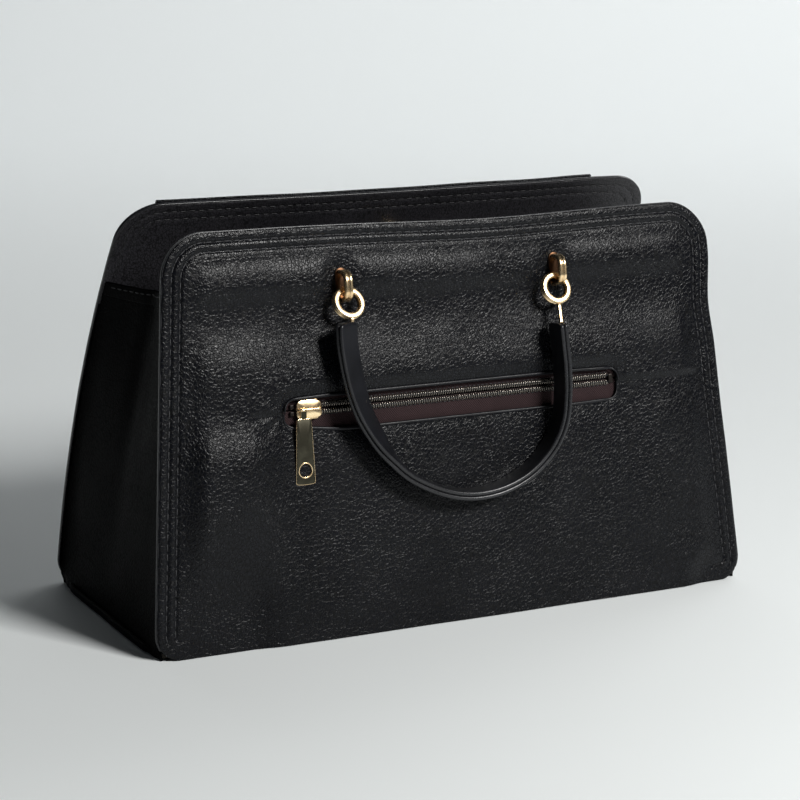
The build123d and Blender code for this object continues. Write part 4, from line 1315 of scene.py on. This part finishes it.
# The strap's line from the left ring to the right one: u, drop below the handle's axis, twist in degrees.
# These points were not chosen by hand: a least-squares fit to the real strap's edges printed them.
STRAP_LINE = [
    (-69.6, -17.7, 66), (-68.9, -31.8, 65), (-65.5, -50.3, 63), (-60.6, -65.9, 54), (-52.7, -80.2, 44),
    (-45.1, -90.9, 27), (-34.2, -101.8, 13), (-16.1, -111.2, 6), (1.6, -115.2, 2), (20.1, -113.7, 1),
    (37.6, -106.6, 1), (51.1, -94.9, -1), (58.8, -81.0, -3), (60.9, -65.1, -2), (60.8, -50.5, -1),
    (59.6, -38.4, 0), (58.5, -27.3, 0),
]
STRAP_WIDTH, STRAP_LAYER = 13.6, 2.36


def build_strap(name, body, plane, reach, turn):
    """A strap of two layers. turn scales the twist."""
    line = catmull(STRAP_LINE, 260)
    path = plane.at(line[:, 0], line[:, 1], reach)
    tangent, _ = frames_along(path, plane.z)
    outwards = np.cross(tangent, plane.z)
    outwards /= np.linalg.norm(outwards, axis=1)[:, None]
    twist = np.radians(line[:, 2] * turn)[:, None]
    wide = np.cos(twist) * plane.z + np.sin(twist) * outwards
    thick = np.cos(twist) * outwards - np.sin(twist) * plane.z
    run = np.concatenate([[0], np.cumsum(np.linalg.norm(np.diff(path, axis=0), axis=1))])
    from_end = np.minimum(run, run[-1] - run)
    close = 0.55 + 0.45 * np.sqrt(1 - np.clip(1 - from_end / 1.6, 0, 1) ** 2)
    for layer, centre, material in (("inner", -1.24, LEATHER_SMOOTH), ("outer", 1.24, LEATHER_STRAP)):
        profile = np.array(rounded_box_profile(STRAP_WIDTH, STRAP_LAYER, 1.1, 7))
        profile[:, 1] += np.sign(profile[:, 1]) * 0.12 * np.cos(profile[:, 0] / STRAP_WIDTH * math.pi) ** 2
        verts, faces = sweep(
            path + thick * centre, wide * close[:, None], thick * (0.8 + 0.2 * close)[:, None], profile
        )
        obj = make_piece(f"{name}_strap_{layer}", verts, faces, material, body, angle=60)
        obj.data.materials.append(EDGE_PAINT)
        columns = len(profile)
        painted = np.abs(profile[:, 0]) > STRAP_WIDTH / 2 - 0.9
        for polygon, corners in zip(obj.data.polygons, faces):
            if len(corners) > 4 or all(painted[i % columns] for i in corners):
                polygon.material_index = 1
        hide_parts(f"{name}_handle_{layer}")
    return path, wide, thick


def build_handle(name, body, mount, strap_lean, reach, ring_tilts, side, turn):
    pivot = mount.at(0, -PIVOT_DROP, PIVOT_REACH)
    strap_plane = Plane(pivot, strap_lean, side)
    build_strap(name, body, strap_plane, reach, turn)

    loops, plates = [], []
    for u in (-LOOP_SPACING / 2, LOOP_SPACING / 2):
        mid = LOOP_HALF - LOOP_WALL / 2
        out_mid = LOOP_REACH - LOOP_WALL / 2 + 1.0
        bend = 4.9
        line = [(-1.0, mid), (0.0, mid), (out_mid - bend, mid)]
        for a in np.radians(np.linspace(0, 90, 10))[1:]:
            line.append((out_mid - bend + bend * math.sin(a), mid - bend * (1 - math.cos(a))))
        line += [(w, -v - LOOP_HANG) for w, v in line[::-1]]
        line = np.array(line)
        path = mount.at(u, line[:, 1], line[:, 0])
        tangent, outside = frames_along(path, mount.x)
        flip = np.sign(((path - mount.at(u, 0.0, 3.0)) * outside).sum(1)).mean()
        outside = outside * (1 if flip > 0 else -1)
        across = np.tile(mount.x, (len(path), 1))
        profile = list(rounded_box_profile(LOOP_WIDTH + 0.3, LOOP_WALL, 0.85, 6))
        extra = [(x, LOOP_WALL / 2 - 0.42 * math.exp(-((x / 0.45) ** 2))) for x in np.linspace(1.1, -1.1, 11)]
        cut = 7
        profile = profile[:cut] + extra + profile[cut:]
        loops.append(sweep(path, across, outside, profile))
        shape = stadium(18.5, 7.0) + (u, -1.2)
        plates.append(slab(mount, shape, None, 1.0, 0.35, 0.05))
    verts, faces = join_parts(loops)
    obj = make_piece(f"{name}_wall_loops", verts, faces, GOLD, "bag", angle=50)
    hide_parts(f"{name}_loops")
    verts, faces = join_parts(plates)
    obj = make_piece(f"{name}_wall_plates", verts, faces, SHADED_DARK_GOLD, "bag", angle=40)
    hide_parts(f"{name}_loop_plates")

    wall, depth = RING_WALL + 0.7, RING_DEPTH + 0.2
    section = [(RING_RADIUS + a, b) for a, b in rounded_box_profile(wall, depth, 1.0, 6)]
    groove = [
        (RING_RADIUS + wall / 2 - 0.75 * math.exp(-((z / 0.5) ** 2)), z) for z in np.linspace(-1.0, 1.0, 13)
    ]
    section = groove[6:] + section[1:-1] + groove[:6]
    rings = []
    strap_ends = (STRAP_LINE[0], STRAP_LINE[-1])
    for i, u in enumerate((-LOOP_SPACING / 2, LOOP_SPACING / 2)):
        corner = strap_plane.at(u + RING_SHIFTS[i], -RING_DROPS[i], 0)
        ring_plane = Plane(corner, strap_lean + ring_tilts[i], side)
        rings.append(revolve(ring_plane, (0.0, -RING_RADIUS, 0.0), section, 84))
        foot = ring_plane.at(0, -2 * RING_RADIUS - 0.4, 0)
        end = strap_plane.at(
            strap_ends[i][0] * 0.3 + 0.7 * (u + RING_SHIFTS[i]), strap_ends[i][1] - 2.0, reach
        )
        steps = np.linspace(0, 1, 14)[:, None]
        path = foot + (end - foot) * steps
        thin = 1 + 0.5 * np.exp(-((steps * np.linalg.norm(end - foot)) / 1.1) ** 2)
        tangent, side_way = frames_along(path, ring_plane.z)
        normal = np.cross(side_way, tangent)
        rings.append(sweep(path, side_way * thin, normal * thin, rounded_box_profile(2.3, 1.7, 0.6, 5)))
    verts, faces = join_parts(rings)
    obj = make_piece(f"{name}_rings", verts, faces, GOLD, body, angle=50)
    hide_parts(f"{name}_handle_rings")


REAR_MOUNT = Plane(REAR.plane.at(0, REAR_SLANT - LOOP_DROP, 0), REAR_LEAN, -1)
build_handle("rear", "rear_handle", REAR_MOUNT, 7.16, 9.75, (27.0, 22.0), -1, 1.0)
build_handle("front", "front_handle", front_tangent_plane(LOOP_DROP, 1.4), 17.5, 7.5, (21.0, 16.0), 1, 0.35)


# ------------------------------------------------ closure snap
def build_snap():
    socket = Plane(REAR.plane.at(0, REAR_SLANT - SNAP_DROP, -SHELL), REAR_LEAN, -1)
    profile = [
        (3.3, 0.0), (3.3, -2.9), (3.6, -3.3), (4.2, -3.45), (7.4, -3.3), (8.4, -2.9), (8.9, -2.1),
        (9.0, -1.2), (9.0, 0.0)
    ]
    verts, faces = revolve(socket, (0, 0, 0), profile[::-1], 64)
    obj = make_piece("snap_socket_disc", verts, faces, GOLD, "bag", angle=50)
    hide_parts("snap_socket")
    stud = front_tangent_plane(SNAP_DROP, -SHELL - 0.2)
    profile = [
        (0.05, 0.0), (0.05, -3.0), (2.4, -3.0), (2.85, -2.8), (3.0, -2.4), (3.05, -1.75), (7.8, -1.6),
        (8.6, -1.3), (9.0, -0.7), (9.0, 0.0)
    ]
    verts, faces = revolve(stud, (0, 0, 0), profile[::-1], 64)
    obj = make_piece("snap_stud_disc", verts, faces, GOLD, "bag", angle=50)
    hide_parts("snap_stud")


build_snap()


# ------------------------------------------------ stage, light and camera
BACKDROP = new_material("pale_backdrop")
VIEW_YAW, VIEW_PITCH, VIEW_ROLL = 28.75, 14.353, 1.891  # degrees
VIEW_POINT = (-0.6609, -1.1924, 0.4531)  # metres
FOCAL_SHARE = 2548.07 / 800  # focal length over the frame's width
SENSOR = 36.0


def studio():
    material, _, shader, _ = BACKDROP
    shader.inputs["Base Color"].default_value = (0.86, 0.895, 0.90, 1)
    shader.inputs["Roughness"].default_value = 0.75
    shader.inputs["Specular IOR Level"].default_value = 0.25
    profile = [(-4.0, 0.0), (1.6, 0.0)]
    for i in range(1, 19):
        a = math.radians(90 * i / 18)
        profile.append((1.6 + 1.2 * math.sin(a), 1.2 * (1 - math.cos(a))))
    profile.append((2.8, 5.0))
    turn = Matrix.Rotation(math.radians(-VIEW_YAW), 4, "Z")
    verts, faces = [], []
    for i, (y, z) in enumerate(profile):
        for x in (-6.0, 6.0):
            verts.append(turn @ Vector((x, y, z)))
        if i:
            faces.append((2 * i - 2, 2 * i - 1, 2 * i + 1, 2 * i))
    mesh = bpy.data.meshes.new("studio_floor")
    mesh.from_pydata(verts, [], faces)
    for polygon in mesh.polygons:
        polygon.use_smooth = True
    mesh.materials.append(material)
    floor = bpy.data.objects.new("studio_floor", mesh)
    bpy.context.scene.collection.objects.link(floor)

    def area(name, place, target, size, power, colour=(1, 1, 1)):
        light = bpy.data.lights.new(name, "AREA")
        light.shape = "RECTANGLE"
        light.size, light.size_y = size
        light.energy, light.color = power, colour
        obj = bpy.data.objects.new(name, light)
        obj.location = place
        obj.rotation_euler = (Vector(target) - Vector(place)).to_track_quat("-Z", "Y").to_euler()
        bpy.context.scene.collection.objects.link(obj)

    area("key_softbox", (0.60, -1.30, 1.15), (0, 0, 0.1), (0.50, 0.50), 33.5, (1.0, 0.99, 0.97))
    area("backdrop_light", (1.9, 1.1, 1.5), (1.35, 1.7, 0.1), (1.3, 1.3), 16.5)
    area("rear_softbox", (0.2, 1.6, 1.6), (0.6, 2.4, 0.2), (1.5, 0.8), 10)

    world = bpy.data.worlds.new("studio")
    bpy.context.scene.world = world
    world.use_nodes = True
    world.node_tree.nodes["Background"].inputs["Color"].default_value = (0.85, 0.93, 1.0, 1)
    world.node_tree.nodes["Background"].inputs["Strength"].default_value = 0.02

    camera = bpy.data.cameras.new("camera")
    camera.sensor_width = SENSOR
    camera.lens = FOCAL_SHARE * SENSOR
    camera.clip_start, camera.clip_end = 0.05, 50
    obj = bpy.data.objects.new("camera", camera)
    yaw, pitch, roll = math.radians(VIEW_YAW), math.radians(VIEW_PITCH), math.radians(VIEW_ROLL)
    forward = Vector((math.sin(yaw) * math.cos(pitch), math.cos(yaw) * math.cos(pitch), -math.sin(pitch)))
    right = forward.cross(Vector((0, 0, 1))).normalized()
    up = right.cross(forward)
    right_rolled = right * math.cos(roll) + up * math.sin(roll)
    up_rolled = up * math.cos(roll) - right * math.sin(roll)
    turn = Matrix((right_rolled, up_rolled, -forward)).transposed().to_4x4()
    obj.matrix_world = Matrix.Translation(VIEW_POINT) @ turn
    bpy.context.scene.collection.objects.link(obj)
    bpy.context.scene.camera = obj
    bpy.context.scene.view_settings.view_transform = "Standard"


studio()

for label, obj in frame["nodes"].items():
    if obj.hide_render:
        continue
    slots = {
        "black_leather": LEATHER, "lining_cloth": LINING, "stiffener_board": BOARD, "gold_hardware": GOLD,
        "backing_steel": STEEL, "zip_tape": TAPE, "zip_coil": COIL,
    }
    wanted = next(s["material_slot"] for s in frame["record"]["subparts"] if s["node"] == label)
    obj.data.materials.clear()
    obj.data.materials.append(slots[wanted])
